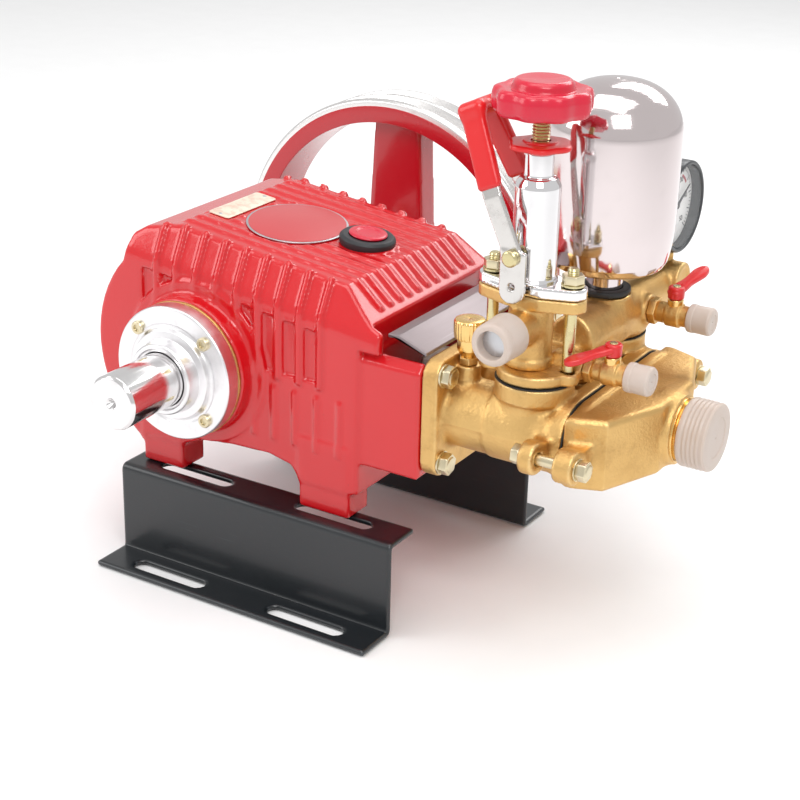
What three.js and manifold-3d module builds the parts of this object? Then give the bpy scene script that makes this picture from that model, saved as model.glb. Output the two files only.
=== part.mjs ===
// Three-cylinder plunger pump on two Z-section rails, with a regulator tower, air chamber and belt pulley.
// Millimetres. X runs from the crankcase to the suction port, Y from the drive end to the pulley, Z is up.
import * as THREE from "three";
import { mergeVertices } from "three/addons/utils/BufferGeometryUtils.js";
import Module from "manifold-3d";

const wasm = await Module();
wasm.setup();

// ---- driving dimensions ----
const gap = 0.3; // kept between pieces that touch
const fine = 22; // sides of a large round
const medium = 14; // sides of a middling round
const coarse = 10; // sides of a small round

const rail = { length: 180, height: 54.5, flange: 24.5, thick: 3, span: 157 };
const slot = { length: 48, width: 9, fromWeb: 13.5, starts: [20, 112] };
const midY = rail.span / 2;

const shaft = { x: 47, z: 123.5, radius: 15, nearEnd: -60, throw: 11, pinRadius: 10 };
const cylinder = { pitch: 42, bore: 13.5, outer: 18.5, plunger: 13, packing: 17 };
const rows = [-1, 0, 1].map((i) => midY + i * cylinder.pitch);
const throwAngles = [90, 210, 330].map((a) => THREE.MathUtils.degToRad(a));
const rod = { length: 58, width: 18, bigOuter: 17, smallOuter: 8 };
const crosshead = { radius: 15, tail: 10, slotDepth: 30, length: 56, slotWidth: 16 };
const plungerTip = 134; // from the crosshead pin to the plunger's end

const crankcase = { near: 12, far: 145, wall: 9, rearRadius: 70, front: 151, arch: 80 };
const bay = { near: 14, front: 187, bottom: 88.5, ledge: 152, top: 158 };
const boss = { near: 1, radius: 38.5, bearing: 31 };
const cover = {
  radius: 37.5,
  near: -10,
  flange: 9,
  bore: 15.4,
  collar: 20.5,
  collarEnd: -21,
  screwCircle: 31,
};
const rib = { pitch: 13.4, width: 3.4, height: 1.5, count: 9, first: 20.3, foot: 124 };
const filler = { x: 113, hole: 10.3 };
const topSlope = 0.117; // fall of the crankcase top towards the pump head

const pulley = { radius: 107.5, near: 204, far: 238, hubNear: 180, hubRadius: 24, rim: 14.5, spoke: 32 };
const shaftFarEnd = 249;

const block = { rear: bay.front + 0.6, flange: 9.4, front: 265, faceZ: 21, valveX: 240, valveRadius: 20 };
const ear = { near: 5, far: midY * 2 - 5, radius: 8.5, bolt: 3.3 };
const manifold = { rear: 265.9, end: 287, nose: 301, height: 38, portEnd: 318, portRadius: 16.6 };
const deckZ = 152; // joint between the valve chambers and the discharge manifold
const tower = {
  x: 236,
  y: rows[0],
  body: 11.2,
  studs: 21.5,
  outletZ: 180,
  plateZ: 190,
  housingZ: 196.8,
  tubeTop: 253.5,
};
const leverPin = { x: 233, z: 217, near: 17.5, far: 55.5 };
const chamber = { x: 244, y: 103, radius: 34, bottom: 194, shoulder: 264, top: 290, wall: 2 };
const gauge = { x: 259, y: 168, z: 210.5, radius: 25.2, depth: 22 };
const wheel = { bottom: 284, radius: 24.5, height: 13, top: 301 };
const cock = { reach: 22, radius: 5.6, capRadius: 7.6, capLength: 14 };
const cocks = [
  { name: "near", x: 263.5, y: 46.5, z: 158.8, angle: 232, tilt: 0.2 },
  { name: "far", x: 261.5, y: 126, z: 165, angle: 75, tilt: -0.28 },
];
const cup = { x: 202, y: rows[0] };

// ---- helpers: solids are manifold-3d objects, made from three.js geometry ----
const axisTurn = {
  x: new THREE.Matrix4().makeBasis(
    new THREE.Vector3(0, 1, 0),
    new THREE.Vector3(0, 0, 1),
    new THREE.Vector3(1, 0, 0),
  ),
  y: new THREE.Matrix4().makeBasis(
    new THREE.Vector3(1, 0, 0),
    new THREE.Vector3(0, 0, 1),
    new THREE.Vector3(0, -1, 0),
  ),
  z: new THREE.Matrix4(),
};

// Signed volume of an indexed triangle mesh, negative when its faces point inwards.
function signedVolume(position, index) {
  const [a, b, c] = [new THREE.Vector3(), new THREE.Vector3(), new THREE.Vector3()];
  let sum = 0;
  for (let i = 0; i < index.length; i += 3) {
    a.fromBufferAttribute(position, index[i]);
    b.fromBufferAttribute(position, index[i + 1]);
    c.fromBufferAttribute(position, index[i + 2]);
    sum += a.dot(b.cross(c)) / 6;
  }
  return sum;
}

function solid(geometry) {
  const bare = geometry.clone();
  bare.deleteAttribute("normal");
  bare.deleteAttribute("uv");
  const merged = mergeVertices(bare, 1e-4);
  const index = new Uint32Array(merged.index.array);
  if (signedVolume(merged.attributes.position, index) < 0) index.reverse();
  return new wasm.Manifold(
    new wasm.Mesh({ numProp: 3, vertProperties: merged.attributes.position.array, triVerts: index }),
  );
}

const join = (...solids) => solids.reduce((a, b) => a.add(b));
const cut = (base, ...tools) => tools.reduce((a, b) => a.subtract(b), base);

function box(x0, x1, y0, y1, z0, z1) {
  const g = new THREE.BoxGeometry(x1 - x0, y1 - y0, z1 - z0);
  return solid(g.translate((x0 + x1) / 2, (y0 + y1) / 2, (z0 + z1) / 2));
}

// A round bar along an axis, from one place to another; u and v are its other two coordinates.
function bar(axis, radius, from, to, u, v, sides = coarse, endRadius = radius) {
  const g = new THREE.CylinderGeometry(endRadius, radius, to - from, sides).rotateX(Math.PI / 2);
  g.translate(0, 0, (from + to) / 2);
  return solid(place(g, axis, u, v));
}

// Turns a shape made along Z so that it runs along an axis, then moves it across that axis.
function place(g, axis, u, v) {
  if (axis === "x") return g.applyMatrix4(axisTurn.x).translate(0, u, v);
  if (axis === "y") return g.scale(1, 1, -1).applyMatrix4(axisTurn.y).translate(u, 0, v);
  return g.translate(u, v, 0);
}

// A turned piece: profile points are [radius, place along the axis].
function turned(axis, profile, u, v, sides = fine) {
  const points = profile.map(([r, s]) => new THREE.Vector2(r, s));
  const g = new THREE.LatheGeometry(points, sides).rotateX(Math.PI / 2);
  return solid(place(g, axis, u, v));
}

const tube = (axis, outer, inner, from, to, u, v, sides = fine) =>
  turned(axis, [[inner, from], [outer, from], [outer, to], [inner, to], [inner, from]], u, v, sides);

function outline(points) {
  return new THREE.Shape(points.map(([x, y]) => new THREE.Vector2(x, y)));
}

// An outline in X and Z, pulled along Y.
function plateY(shape, from, to, curveSegments = 10) {
  const g = new THREE.ExtrudeGeometry(shape, { depth: to - from, bevelEnabled: false, curveSegments });
  return solid(g.rotateX(Math.PI / 2).translate(0, to, 0));
}

// An outline in Y and Z, pulled along X.
function plateX(shape, from, to, curveSegments = 8) {
  const g = new THREE.ExtrudeGeometry(shape, { depth: to - from, bevelEnabled: false, curveSegments });
  return solid(g.applyMatrix4(axisTurn.x).translate(from, 0, 0));
}

// An outline in X and Y, pulled upwards.
function plateZ(shape, from, to, curveSegments = 8) {
  const g = new THREE.ExtrudeGeometry(shape, { depth: to - from, bevelEnabled: false, curveSegments });
  return solid(g.translate(0, 0, from));
}

// A rectangle with round corners, centred on u, v.
function roundedRect(u, v, width, height, radius) {
  const [x, y] = [u - width / 2, v - height / 2];
  const s = new THREE.Shape();
  s.moveTo(x + radius, y);
  s.lineTo(x + width - radius, y);
  s.absarc(x + width - radius, y + radius, radius, -Math.PI / 2, 0);
  s.lineTo(x + width, y + height - radius);
  s.absarc(x + width - radius, y + height - radius, radius, 0, Math.PI / 2);
  s.lineTo(x + radius, y + height);
  s.absarc(x + radius, y + height - radius, radius, Math.PI / 2, Math.PI);
  s.lineTo(x, y + radius);
  s.absarc(x + radius, y + radius, radius, Math.PI, 1.5 * Math.PI);
  return s;
}

const hexBar = (axis, acrossFlats, from, to, u, v) =>
  bar(axis, acrossFlats / Math.sqrt(3), from, to, u, v, 6);

// ---- materials ----
const finish = (color, roughness, metalness, extra = {}) =>
  new THREE.MeshStandardMaterial({ color, roughness, metalness, ...extra });
const look = {
  redPaint: finish("#d81f2a", 0.32, 0),
  redDip: finish("#e0262c", 0.45, 0),
  blackPaint: finish("#12161a", 0.25, 0.1),
  alloy: finish("#b9bcc0", 0.4, 1),
  steel: finish("#c9cbce", 0.25, 1),
  chrome: finish("#dfe1e4", 0.06, 1),
  zinc: finish("#b8a35e", 0.4, 1),
  brass: finish("#c8954a", 0.38, 1),
  ceramic: finish("#e6e2da", 0.25, 0),
  rubber: finish("#17181a", 0.7, 0),
  packing: finish("#4c463c", 0.8, 0),
  plastic: finish("#cfc2c7", 0.5, 0),
  greyCover: finish("#a0949a", 0.45, 0.4),
  badge: finish("#c8403f", 0.4, 0),
  label: finish("#e5d9c4", 0.4, 0.3),
  black: finish("#1b1c1f", 0.45, 0),
  dial: finish("#f2f0ea", 0.5, 0),
  glass: finish("#e8eef0", 0.05, 0, { transparent: true, opacity: 0.35 }),
};

const pump = new THREE.Group();

function add(name, shape, material) {
  const mesh = shape.getMesh();
  const g = new THREE.BufferGeometry();
  g.setAttribute("position", new THREE.BufferAttribute(mesh.vertProperties, 3));
  g.setIndex(new THREE.BufferAttribute(mesh.triVerts, 1));
  g.computeVertexNormals();
  const part = new THREE.Mesh(g, material);
  part.name = name;
  pump.add(part);
}

// ---- base rails: Z sections with two slots in each flange ----
function railSolid(web, outward) {
  const inner = web - outward * rail.thick;
  const [w0, w1] = [Math.min(web, inner), Math.max(web, inner)];
  const tipOut = web + outward * rail.flange;
  const tipIn = web - outward * rail.flange;
  const webPlate = box(0, rail.length, w0, w1, 0, rail.height);
  const foot = box(0, rail.length, Math.min(inner, tipOut), Math.max(inner, tipOut), 0, rail.thick);
  const topZ = rail.height - rail.thick;
  const ledge = box(0, rail.length, Math.min(web, tipIn), Math.max(web, tipIn), topZ, rail.height);
  const slots = slot.starts.flatMap((start) =>
    [-1, 1].map((side) => {
      const y = web + side * slot.fromWeb;
      const hole = roundedRect(start + slot.length / 2, y, slot.length, slot.width, slot.width / 2 - 0.01);
      const [from, to] = side === outward ? [-1, rail.thick + 1] : [topZ - 1, rail.height + 1];
      return plateZ(hole, from, to, 4);
    }),
  );
  return cut(join(webPlate, foot, ledge), ...slots);
}
add("near_rail", railSolid(0, -1), look.blackPaint);
add("far_rail", railSolid(rail.span, 1), look.blackPaint);

// ---- crankcase ----
// Height of the top face over a place on X.
const topAt = (x) => 198.5 - topSlope * x;

function crankcaseSide() {
  const s = new THREE.Shape();
  const start = Math.atan2(71 - shaft.z, 11 - shaft.x);
  const end = Math.atan2(173 - shaft.z, -6 - shaft.x);
  s.moveTo(crankcase.front, 70);
  s.lineTo(114, 70);
  s.quadraticCurveTo(110, 80, 94, crankcase.arch);
  s.lineTo(70, crankcase.arch - 1);
  s.quadraticCurveTo(48, 78, 35, 71);
  s.lineTo(11, 71);
  s.absarc(shaft.x, shaft.z, crankcase.rearRadius, start, end, true);
  s.lineTo(1, 187);
  s.lineTo(8, 191.5);
  s.lineTo(29, topAt(29));
  s.lineTo(137, topAt(137));
  s.lineTo(150, 171);
  s.lineTo(157, 165.5);
  s.lineTo(163, 163);
  s.lineTo(163, bay.ledge);
  s.lineTo(crankcase.front, bay.ledge);
  return s;
}

// The same side outline, moved in by the wall, for the crank chamber.
function chamberSide() {
  const s = new THREE.Shape();
  s.moveTo(126, 89);
  s.lineTo(20, 87);
  s.lineTo(-8, 98);
  s.lineTo(-14, 120);
  s.lineTo(-4, 158);
  s.lineTo(10, 176);
  s.lineTo(30, topAt(30) - 12);
  s.lineTo(126, topAt(126) - 12);
  return s;
}

// A wedge that takes off one top edge along the sloping top; side is -1 near, 1 far.
function shoulderWedge(side) {
  const edge = midY + side * (midY - crankcase.near);
  const run = -side * 10;
  const shape = outline([
    [edge, -26.5],
    [edge + run, -6.5],
    [edge + run * 0.8, 20],
    [edge - run * 2, 20],
    [edge - run * 2, -26.5],
  ]);
  const g = new THREE.ExtrudeGeometry(shape, { depth: 300, bevelEnabled: false });
  g.applyMatrix4(axisTurn.x).translate(-80, 0, 0);
  g.rotateY(Math.atan(topSlope)).translate(0, 0, topAt(0) + 4);
  return solid(g);
}

// One rib over a side wall and its shoulder.
function sideRib(x, side) {
  const edge = midY + side * (midY - crankcase.near);
  const out = side * rib.height;
  const top = topAt(x);
  const shape = outline([
    [edge - side * 3, rib.foot - 4],
    [edge + out, rib.foot],
    [edge + out, top - 21],
    [edge - side * 9, top - 0.5],
    [edge - side * 14, top - 2],
    [edge - side * 6, top - 22],
  ]);
  return plateX(shape, x, x + rib.width);
}

function crankcaseSolid() {
  const body = plateY(crankcaseSide(), crankcase.near, crankcase.far, coarse);
  const shoulders = [-1, 1].map((side) => shoulderWedge(side));
  const bayFar = 2 * midY - bay.near;
  const bayShape = outline([
    [bay.near, bay.bottom],
    [bayFar, bay.bottom],
    [bayFar, 147],
    [bayFar - 6, bay.top - 2.5],
    [bay.near + 6, bay.top - 2.5],
    [bay.near, 147],
  ]);
  const extension = plateX(bayShape, 140, bay.front);
  const well = box(157, bay.front + 1, 20, 2 * midY - 20, 95, 170);
  const ledge = box(156, bay.front + 1, 18, 2 * midY - 18, bay.ledge, 175);
  const feet = [-1, 1].flatMap((side) =>
    [[7, 35], [114, 146]].map(([x0, x1]) => {
      const outer = midY + side * (midY - crankcase.near);
      const inner = outer - side * 20;
      return box(x0, x1, Math.min(outer, inner), Math.max(outer, inner), rail.height + gap, 92);
    }),
  );
  const bosses = [boss.near, 2 * midY - boss.near].map((end, i) => {
    const [from, to] = i ? [crankcase.far - 1, end] : [end, crankcase.near + 1];
    return bar("y", boss.radius, from, to, shaft.x, shaft.z, fine);
  });
  const ribs = [-1, 1].flatMap((side) =>
    Array.from({ length: rib.count }, (_, i) => sideRib(rib.first + i * rib.pitch, side)),
  );
  const hollow = plateY(chamberSide(), crankcase.near + crankcase.wall, crankcase.far - crankcase.wall);
  const bearingBore = bar("y", boss.bearing + gap, -5, 2 * midY + 5, shaft.x, shaft.z, fine);
  const guides = rows.map((y) => bar("x", crosshead.radius + gap, 120, 160, y, shaft.z, medium));
  const rodRoom = box(110, 128, 22, 2 * midY - 22, 98, 150);
  const fillerHole = bar("z", filler.hole, 160, 200, filler.x, midY, coarse);
  const outside = cut(join(body, extension, ...feet), ...shoulders);
  const whole = join(outside, ...bosses, ...ribs);
  return cut(whole, hollow, bearingBore, well, ledge, rodRoom, ...guides, fillerHole);
}
add("crankcase", crankcaseSolid(), look.redPaint);

// Sheet cover over the plunger well, flat where it meets the crankcase and falling towards the head.
function bayCoverSolid() {
  const sheet = outline([
    [164, 163],
    [170.6, 163.4],
    [bay.front, 157.2],
    [bay.front, 155.2],
    [170.6, 161.4],
    [164, 161],
  ]);
  return plateY(sheet, 19.5, 2 * midY - 19.5);
}
add("plunger_bay_cover", bayCoverSolid(), look.greyCover);

// ---- bearing covers, bearings and crankshaft ----
function bearingCover(side) {
  const at = (y) => midY + side * (midY - y);
  const profile = [
    [cover.bore, at(cover.near + cover.flange)],
    [cover.radius, at(cover.near + cover.flange)],
    [cover.radius, at(cover.near + 1)],
    [cover.radius - 1, at(cover.near)],
    [cover.collar + 5, at(cover.near)],
    [cover.collar + 4, at(cover.near - 2.5)],
    [cover.collar, at(cover.near - 2.5)],
    [cover.collar - 1, at(cover.collarEnd)],
    [cover.bore, at(cover.collarEnd)],
    [cover.bore, at(cover.near + cover.flange)],
  ];
  const holes = [45, 135, 225, 315].map((a) => {
    const angle = THREE.MathUtils.degToRad(a);
    const x = shaft.x + cover.screwCircle * Math.cos(angle);
    const z = shaft.z + cover.screwCircle * Math.sin(angle);
    const middle = at(cover.near + 2.5);
    return bar("y", 2.6, middle - 3, middle + 3, x, z, 8);
  });
  return cut(turned("y", profile, shaft.x, shaft.z), ...holes);
}
add("near_bearing_cover", bearingCover(-1), look.alloy);
add("far_bearing_cover", bearingCover(1), look.alloy);

for (const [name, from] of [["near_bearing", 3], ["far_bearing", 2 * midY - 19]])
  add(name, tube("y", boss.bearing, shaft.radius + gap, from, from + 16, shaft.x, shaft.z), look.steel);

function crankshaftSolid() {
  const pinHalf = 11;
  const pins = rows.map((y, i) => {
    const [x, z] = crankPin(i);
    return bar("y", shaft.pinRadius, y - pinHalf - 1, y + pinHalf + 1, x, z, coarse);
  });
  const webs = [
    [rows[0] - pinHalf - 6, rows[0] - pinHalf],
    [rows[0] + pinHalf, rows[1] - pinHalf],
    [rows[1] + pinHalf, rows[2] - pinHalf],
    [rows[2] + pinHalf, rows[2] + pinHalf + 6],
  ].map(([from, to]) => bar("y", 24, from, to, shaft.x, shaft.z, coarse));
  const nearStub = bar("y", shaft.radius, shaft.nearEnd, rows[0] - pinHalf, shaft.x, shaft.z, fine);
  const farStub = bar("y", shaft.radius, rows[2] + pinHalf, pulley.far, shaft.x, shaft.z, fine);
  const thread = bar("y", 9, pulley.far - 1, shaftFarEnd, shaft.x, shaft.z, coarse);
  const keyway = box(shaft.x - 4, shaft.x + 4, shaft.nearEnd - 1, -28, shaft.z - 20, shaft.z - 11);
  return cut(join(nearStub, farStub, thread, ...pins, ...webs), keyway);
}

// Centre of a crankpin, in X and Z.
function crankPin(i) {
  return [
    shaft.x + shaft.throw * Math.cos(throwAngles[i]),
    shaft.z + shaft.throw * Math.sin(throwAngles[i]),
  ];
}
add("crankshaft", crankshaftSolid(), look.steel);

// ---- connecting rods, crossheads and plungers ----
rows.forEach((y, i) => {
  const [pinX, pinZ] = crankPin(i);
  const rise = shaft.z - pinZ;
  const reach = Math.sqrt(rod.length ** 2 - rise ** 2);
  const eyeX = pinX + reach;
  const [y0, y1] = [y - rod.width / 2, y + rod.width / 2];
  const shank = new THREE.BoxGeometry(rod.length, 9, 10);
  shank.translate(rod.length / 2, 0, 0).rotateY(-Math.atan2(rise, reach)).translate(pinX, y, pinZ);
  const bigEnd = bar("y", rod.bigOuter, y0, y1, pinX, pinZ, medium);
  const smallEnd = bar("y", rod.smallOuter, y - 6.5, y + 6.5, eyeX, shaft.z, coarse);
  const boreRadius = shaft.pinRadius / Math.cos(Math.PI / medium) + gap; // flats clear the pin's corners
  const bigBore = bar("y", boreRadius, y0 - 1, y1 + 1, pinX, pinZ, medium);
  const rodSolid = cut(join(solid(shank), bigEnd, smallEnd), bigBore);
  add("connecting_rod_" + (i + 1), rodSolid, look.steel);

  const tail = eyeX - crosshead.tail;
  const nose = tail + crosshead.length;
  const slide = bar("x", crosshead.radius, tail, nose, y, shaft.z, medium);
  const half = crosshead.slotWidth / 2;
  const fork = box(tail - 1, tail + crosshead.tail + crosshead.slotDepth, y - half, y + half, 100, 150);
  add("crosshead_" + (i + 1), cut(slide, fork), look.steel);

  const tip = eyeX + plungerTip;
  const profile = [
    [0, nose + gap],
    [10, nose + gap],
    [10, nose + 8],
    [cylinder.plunger, nose + 9],
    [cylinder.plunger, tip - 2],
    [cylinder.plunger - 2, tip],
    [0, tip],
  ];
  add("plunger_" + (i + 1), turned("x", profile, y, shaft.z, medium), look.ceramic);
  const [from, to] = [block.rear + gap, block.rear + 9];
  const packing = tube("x", cylinder.packing, cylinder.plunger + gap, from, to, y, shaft.z, medium);
  add("plunger_packing_" + (i + 1), packing, look.packing);
});

// ---- belt pulley and its nut ----
function pulleySolid() {
  const { radius: r, near, far, rim } = pulley;
  const groove = { width: 12, depth: 7, floor: 7.5 };
  const rimProfile = [[r - rim, near], [r - 1, near], [r, near + 1]];
  for (const centre of [near + 10.3, far - 8.7]) {
    rimProfile.push([r, centre - groove.width / 2], [r - groove.depth, centre - groove.floor / 2]);
    rimProfile.push([r - groove.depth, centre + groove.floor / 2], [r, centre + groove.width / 2]);
  }
  rimProfile.push([r, far - 1], [r - 1, far], [r - rim, far], [r - rim, near]);
  const ring = turned("y", rimProfile, shaft.x, shaft.z, 40);
  const hub = bar("y", pulley.hubRadius, pulley.hubNear, far - gap, shaft.x, shaft.z, fine);
  const spokes = [90, 210, 330].map((angle) => {
    const half = pulley.spoke / 2;
    const shape = outline([[0, -half - 5], [r - rim + 2, -half], [r - rim + 2, half], [0, half + 5]]);
    const g = new THREE.ExtrudeGeometry(shape, { depth: 18, bevelEnabled: false });
    g.rotateX(Math.PI / 2).translate(0, 9, 0);
    g.rotateY(-THREE.MathUtils.degToRad(angle)).translate(shaft.x, (near + far) / 2 + 2, shaft.z);
    return solid(g);
  });
  const bore = bar("y", shaft.radius + gap, pulley.hubNear - 1, far + 1, shaft.x, shaft.z, fine);
  return cut(join(ring, hub, ...spokes), bore);
}
add("pulley", pulleySolid(), look.redPaint);
const nutFace = pulley.far + gap;
const nutWasher = bar("y", 20, nutFace, nutFace + 2, shaft.x, shaft.z, medium);
const nutHex = hexBar("y", 27, nutFace + 1, nutFace + 9, shaft.x, shaft.z);
const nutBore = bar("y", 9.3, nutFace - 1, nutFace + 10, shaft.x, shaft.z, coarse);
add("pulley_nut", cut(join(nutWasher, nutHex), nutBore), look.zinc);

// ---- trim on the crankcase top ----
const topTilt = Math.atan(topSlope);
// Stands a shape made around the origin on the sloping top, at a place on X and Y.
function onTop(g, x, y) {
  return solid(g.rotateY(topTilt).translate(x, y, topAt(x) + gap));
}
function sheet(shape, depth, curveSegments) {
  return new THREE.ExtrudeGeometry(shape, { depth, bevelEnabled: false, curveSegments });
}
function turnedUpright(profile) {
  return new THREE.LatheGeometry(profile.map(([r, z]) => new THREE.Vector2(r, z)), fine).rotateX(Math.PI / 2);
}
const oval = new THREE.Shape();
oval.absellipse(0, 0, 27, 31, 0, Math.PI * 2);
add("name_badge", onTop(sheet(oval, 1, 12), 71, 73), look.badge);
add("data_plate", onTop(sheet(roundedRect(0, 0, 14, 46, 2), 0.8, 3), 34.5, 72), look.label);
const sealProfile = [[10.6, 0], [15, 0], [15.5, 2], [15.5, 4], [14, 5.5], [10.6, 5.5], [10.6, 0]];
add("oil_filler_seal", onTop(turnedUpright(sealProfile), filler.x, midY), look.rubber);
const plugProfile = [[0, -12], [8, -12], [8, 5.9], [11, 5.9], [10.5, 8], [8, 8.6], [0, 8.6]];
add("oil_filler_cap", onTop(turnedUpright(plugProfile), filler.x, midY), look.redPaint);

// ---- cylinder block ----
function obround(near, far, halfHeight) {
  return roundedRect((near + far) / 2, shaft.z, far - near, halfHeight * 2, halfHeight - 0.01);
}
function earPlate(from, to) {
  const web = box(from, to, ear.near, ear.far, shaft.z - 6, shaft.z + 6);
  const ends = [ear.near, ear.far].map((y) => bar("x", ear.radius, from, to, y, shaft.z, coarse));
  return join(web, ...ends);
}
function cylinderBlockSolid() {
  const rearShape = roundedRect(midY, 123, 2 * (midY - bay.near), 64, 9);
  const rearPlate = plateX(rearShape, block.rear, block.rear + block.flange, 4);
  const [barrelFrom, barrelTo] = [block.rear + 1, block.front - 1];
  const barrels = rows.map((y) => bar("x", cylinder.outer, barrelFrom, barrelTo, y, shaft.z, medium));
  const valveProfile = [
    [0, 118],
    [15, 118],
    [15.5, 134],
    [block.valveRadius, 142],
    [block.valveRadius, deckZ - gap],
    [0, deckZ - gap],
  ];
  const towers = rows.map((y) => turned("z", valveProfile, block.valveX, y, medium));
  const bridge = box(222, block.front - 6, rows[0], rows[2], shaft.z - 16, shaft.z + 16);
  const face = plateX(obround(midY - 61.5, midY + 61.5, block.faceZ), block.front - 8, block.front, 6);
  const lugs = earPlate(block.front - 13, block.front - 5);
  const cupBoss = bar("z", 6.5, shaft.z + 10, 150, cup.x, cup.y, coarse);
  const bores = rows.map((y) => bar("x", cylinder.bore, block.rear - 1, block.front + 1, y, shaft.z, medium));
  const [seatRadius, seatEnd] = [cylinder.packing + gap, block.rear + 9 + gap];
  const counter = rows.map((y) => bar("x", seatRadius, block.rear - 1, seatEnd, y, shaft.z, medium));
  const valves = rows.map((y) => bar("z", 10, shaft.z, deckZ + 1, block.valveX, y, coarse));
  const earHoles = [ear.near, ear.far].map((y) => bar("x", ear.bolt, 240, 300, y, shaft.z, coarse));
  const cupHole = bar("z", 2, shaft.z + 10, 160, cup.x, cup.y, coarse);
  const whole = join(rearPlate, ...barrels, ...towers, bridge, face, lugs, cupBoss);
  return cut(whole, ...bores, ...counter, ...valves, ...earHoles, cupHole);
}
add("cylinder_block", cylinderBlockSolid(), look.brass);

// ---- suction manifold, gasket and port cap ----
add("suction_gasket", cut(
  plateX(obround(midY - 61, midY + 61, block.faceZ - 0.5), block.front + 0.2, block.front + 0.7, 6),
  ...rows.map((y) => bar("x", cylinder.bore, 260, 270, y, shaft.z, coarse)),
), look.rubber);

function suctionManifoldSolid() {
  const half = manifold.height / 2;
  const plan = outline([
    [manifold.rear, midY - 60],
    [manifold.rear + 14, midY - 61],
    [manifold.end, midY - 55],
    [manifold.nose, midY - 20],
    [manifold.nose, midY + 20],
    [manifold.end, midY + 55],
    [manifold.rear + 14, midY + 61],
    [manifold.rear, midY + 60],
  ]);
  const body = plateZ(plan, shaft.z - half, shaft.z + half);
  const face = obround(midY - 61, midY + 61, block.faceZ - 0.5);
  const flange = plateX(face, manifold.rear, manifold.rear + 5, 6);
  const lugs = earPlate(manifold.rear + 5, manifold.rear + 15);
  const collar = bar("x", 18.3, manifold.nose - 6, manifold.nose + 3, midY, shaft.z, fine);
  const port = bar("x", manifold.portRadius, manifold.nose, manifold.portEnd, midY, shaft.z, fine);
  const bore = bar("x", 12.5, manifold.rear + 12, manifold.portEnd + 1, midY, shaft.z, medium);
  const [galleryFrom, galleryTo] = [rows[0] - 12, rows[2] + 12];
  const [low, high] = [shaft.z - 12, shaft.z + 12];
  const gallery = box(manifold.rear - 1, manifold.rear + 14, galleryFrom, galleryTo, low, high);
  const earHoles = [ear.near, ear.far].map((y) => bar("x", ear.bolt, 260, 300, y, shaft.z, coarse));
  return cut(join(body, flange, lugs, collar, port), bore, gallery, ...earHoles);
}
add("suction_manifold", suctionManifoldSolid(), look.brass);
const capStart = manifold.nose + 6;
add("suction_port_cap", turned("x", [
  [manifold.portRadius + gap, capStart],
  [18, capStart],
  [18, manifold.portEnd + 3],
  [17, manifold.portEnd + 4.5],
  [0, manifold.portEnd + 4.5],
  [0, manifold.portEnd + 1],
  [manifold.portRadius + gap, manifold.portEnd + 1],
  [manifold.portRadius + gap, capStart],
], midY, shaft.z), look.plastic);

// ---- discharge manifold: a deck over the three valve chambers, a raised pipe and the gauge elbow ----
function dischargeManifoldSolid() {
  const top = deckZ + 6;
  const discs = rows.map((y) => bar("z", 19.3, deckZ, top, block.valveX, y, medium));
  const deck = box(block.valveX - 12, block.valveX + 12, rows[0], rows[2], deckZ, top);
  const studEars = [-1, 1].map((s) => bar("z", 6, deckZ, top, tower.x + s * tower.studs, tower.y, coarse));
  const studWeb = box(tower.x - tower.studs, tower.x + tower.studs, tower.y - 6, tower.y + 6, deckZ, top);
  const pipe = bar("y", 12, 60, 172, 247, 166, medium);
  const saddle = box(235, 259, 60, 132, deckZ + 2, 166);
  const nearBoss = bar("x", 6.7, 250, cocks[0].x, cocks[0].y, cocks[0].z, coarse);
  const farBoss = bar("x", 8, 246, cocks[1].x, cocks[1].y, cocks[1].z, coarse);
  const seat = bar("z", 14.5, 165, 178, chamber.x, chamber.y, fine);
  const elbow = bar("x", 9.5, 240, 262, gauge.y - 1, 170, medium);
  const stem = bar("z", 5, 170, 183, gauge.x - 11, gauge.y, coarse);
  const hex = hexBar("z", 11, 180, 184.5, gauge.x - 11, gauge.y);
  const gallery = bar("y", 7, 55, 165, 247, 166, coarse);
  const valveHoles = rows.slice(1).map((y) => bar("z", 6, deckZ - 1, 166, 246, y, coarse));
  const towerHole = bar("z", 6, deckZ - 1, top + 1, tower.x, tower.y, coarse);
  const seatHole = bar("z", 5, 166, 180, chamber.x, chamber.y, coarse);
  const outlets = join(nearBoss, farBoss, seat, elbow, stem, hex);
  const whole = join(...discs, deck, ...studEars, studWeb, pipe, saddle, outlets);
  return cut(whole, gallery, ...valveHoles, towerHole, seatHole);
}
add("discharge_manifold", dischargeManifoldSolid(), look.brass);

// ---- regulator tower ----
const plateShape = () => {
  const s = new THREE.Shape();
  const [a, b] = [tower.studs, 7.5];
  s.absarc(a, 0, b, -Math.PI / 2.6, Math.PI / 2.6);
  s.lineTo(9, 12);
  s.lineTo(-9, 12);
  s.absarc(-a, 0, b, Math.PI - Math.PI / 2.6, Math.PI + Math.PI / 2.6);
  s.lineTo(-9, -12);
  s.lineTo(9, -12);
  return s;
};
const towerPlate = (from, to) => plateZ(plateShape(), from, to, 6).translate([tower.x, tower.y, 0]);
const studHoles = () =>
  [-1, 1].map((s) => bar("z", 3.4, 150, 220, tower.x + s * tower.studs, tower.y, coarse));

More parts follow.
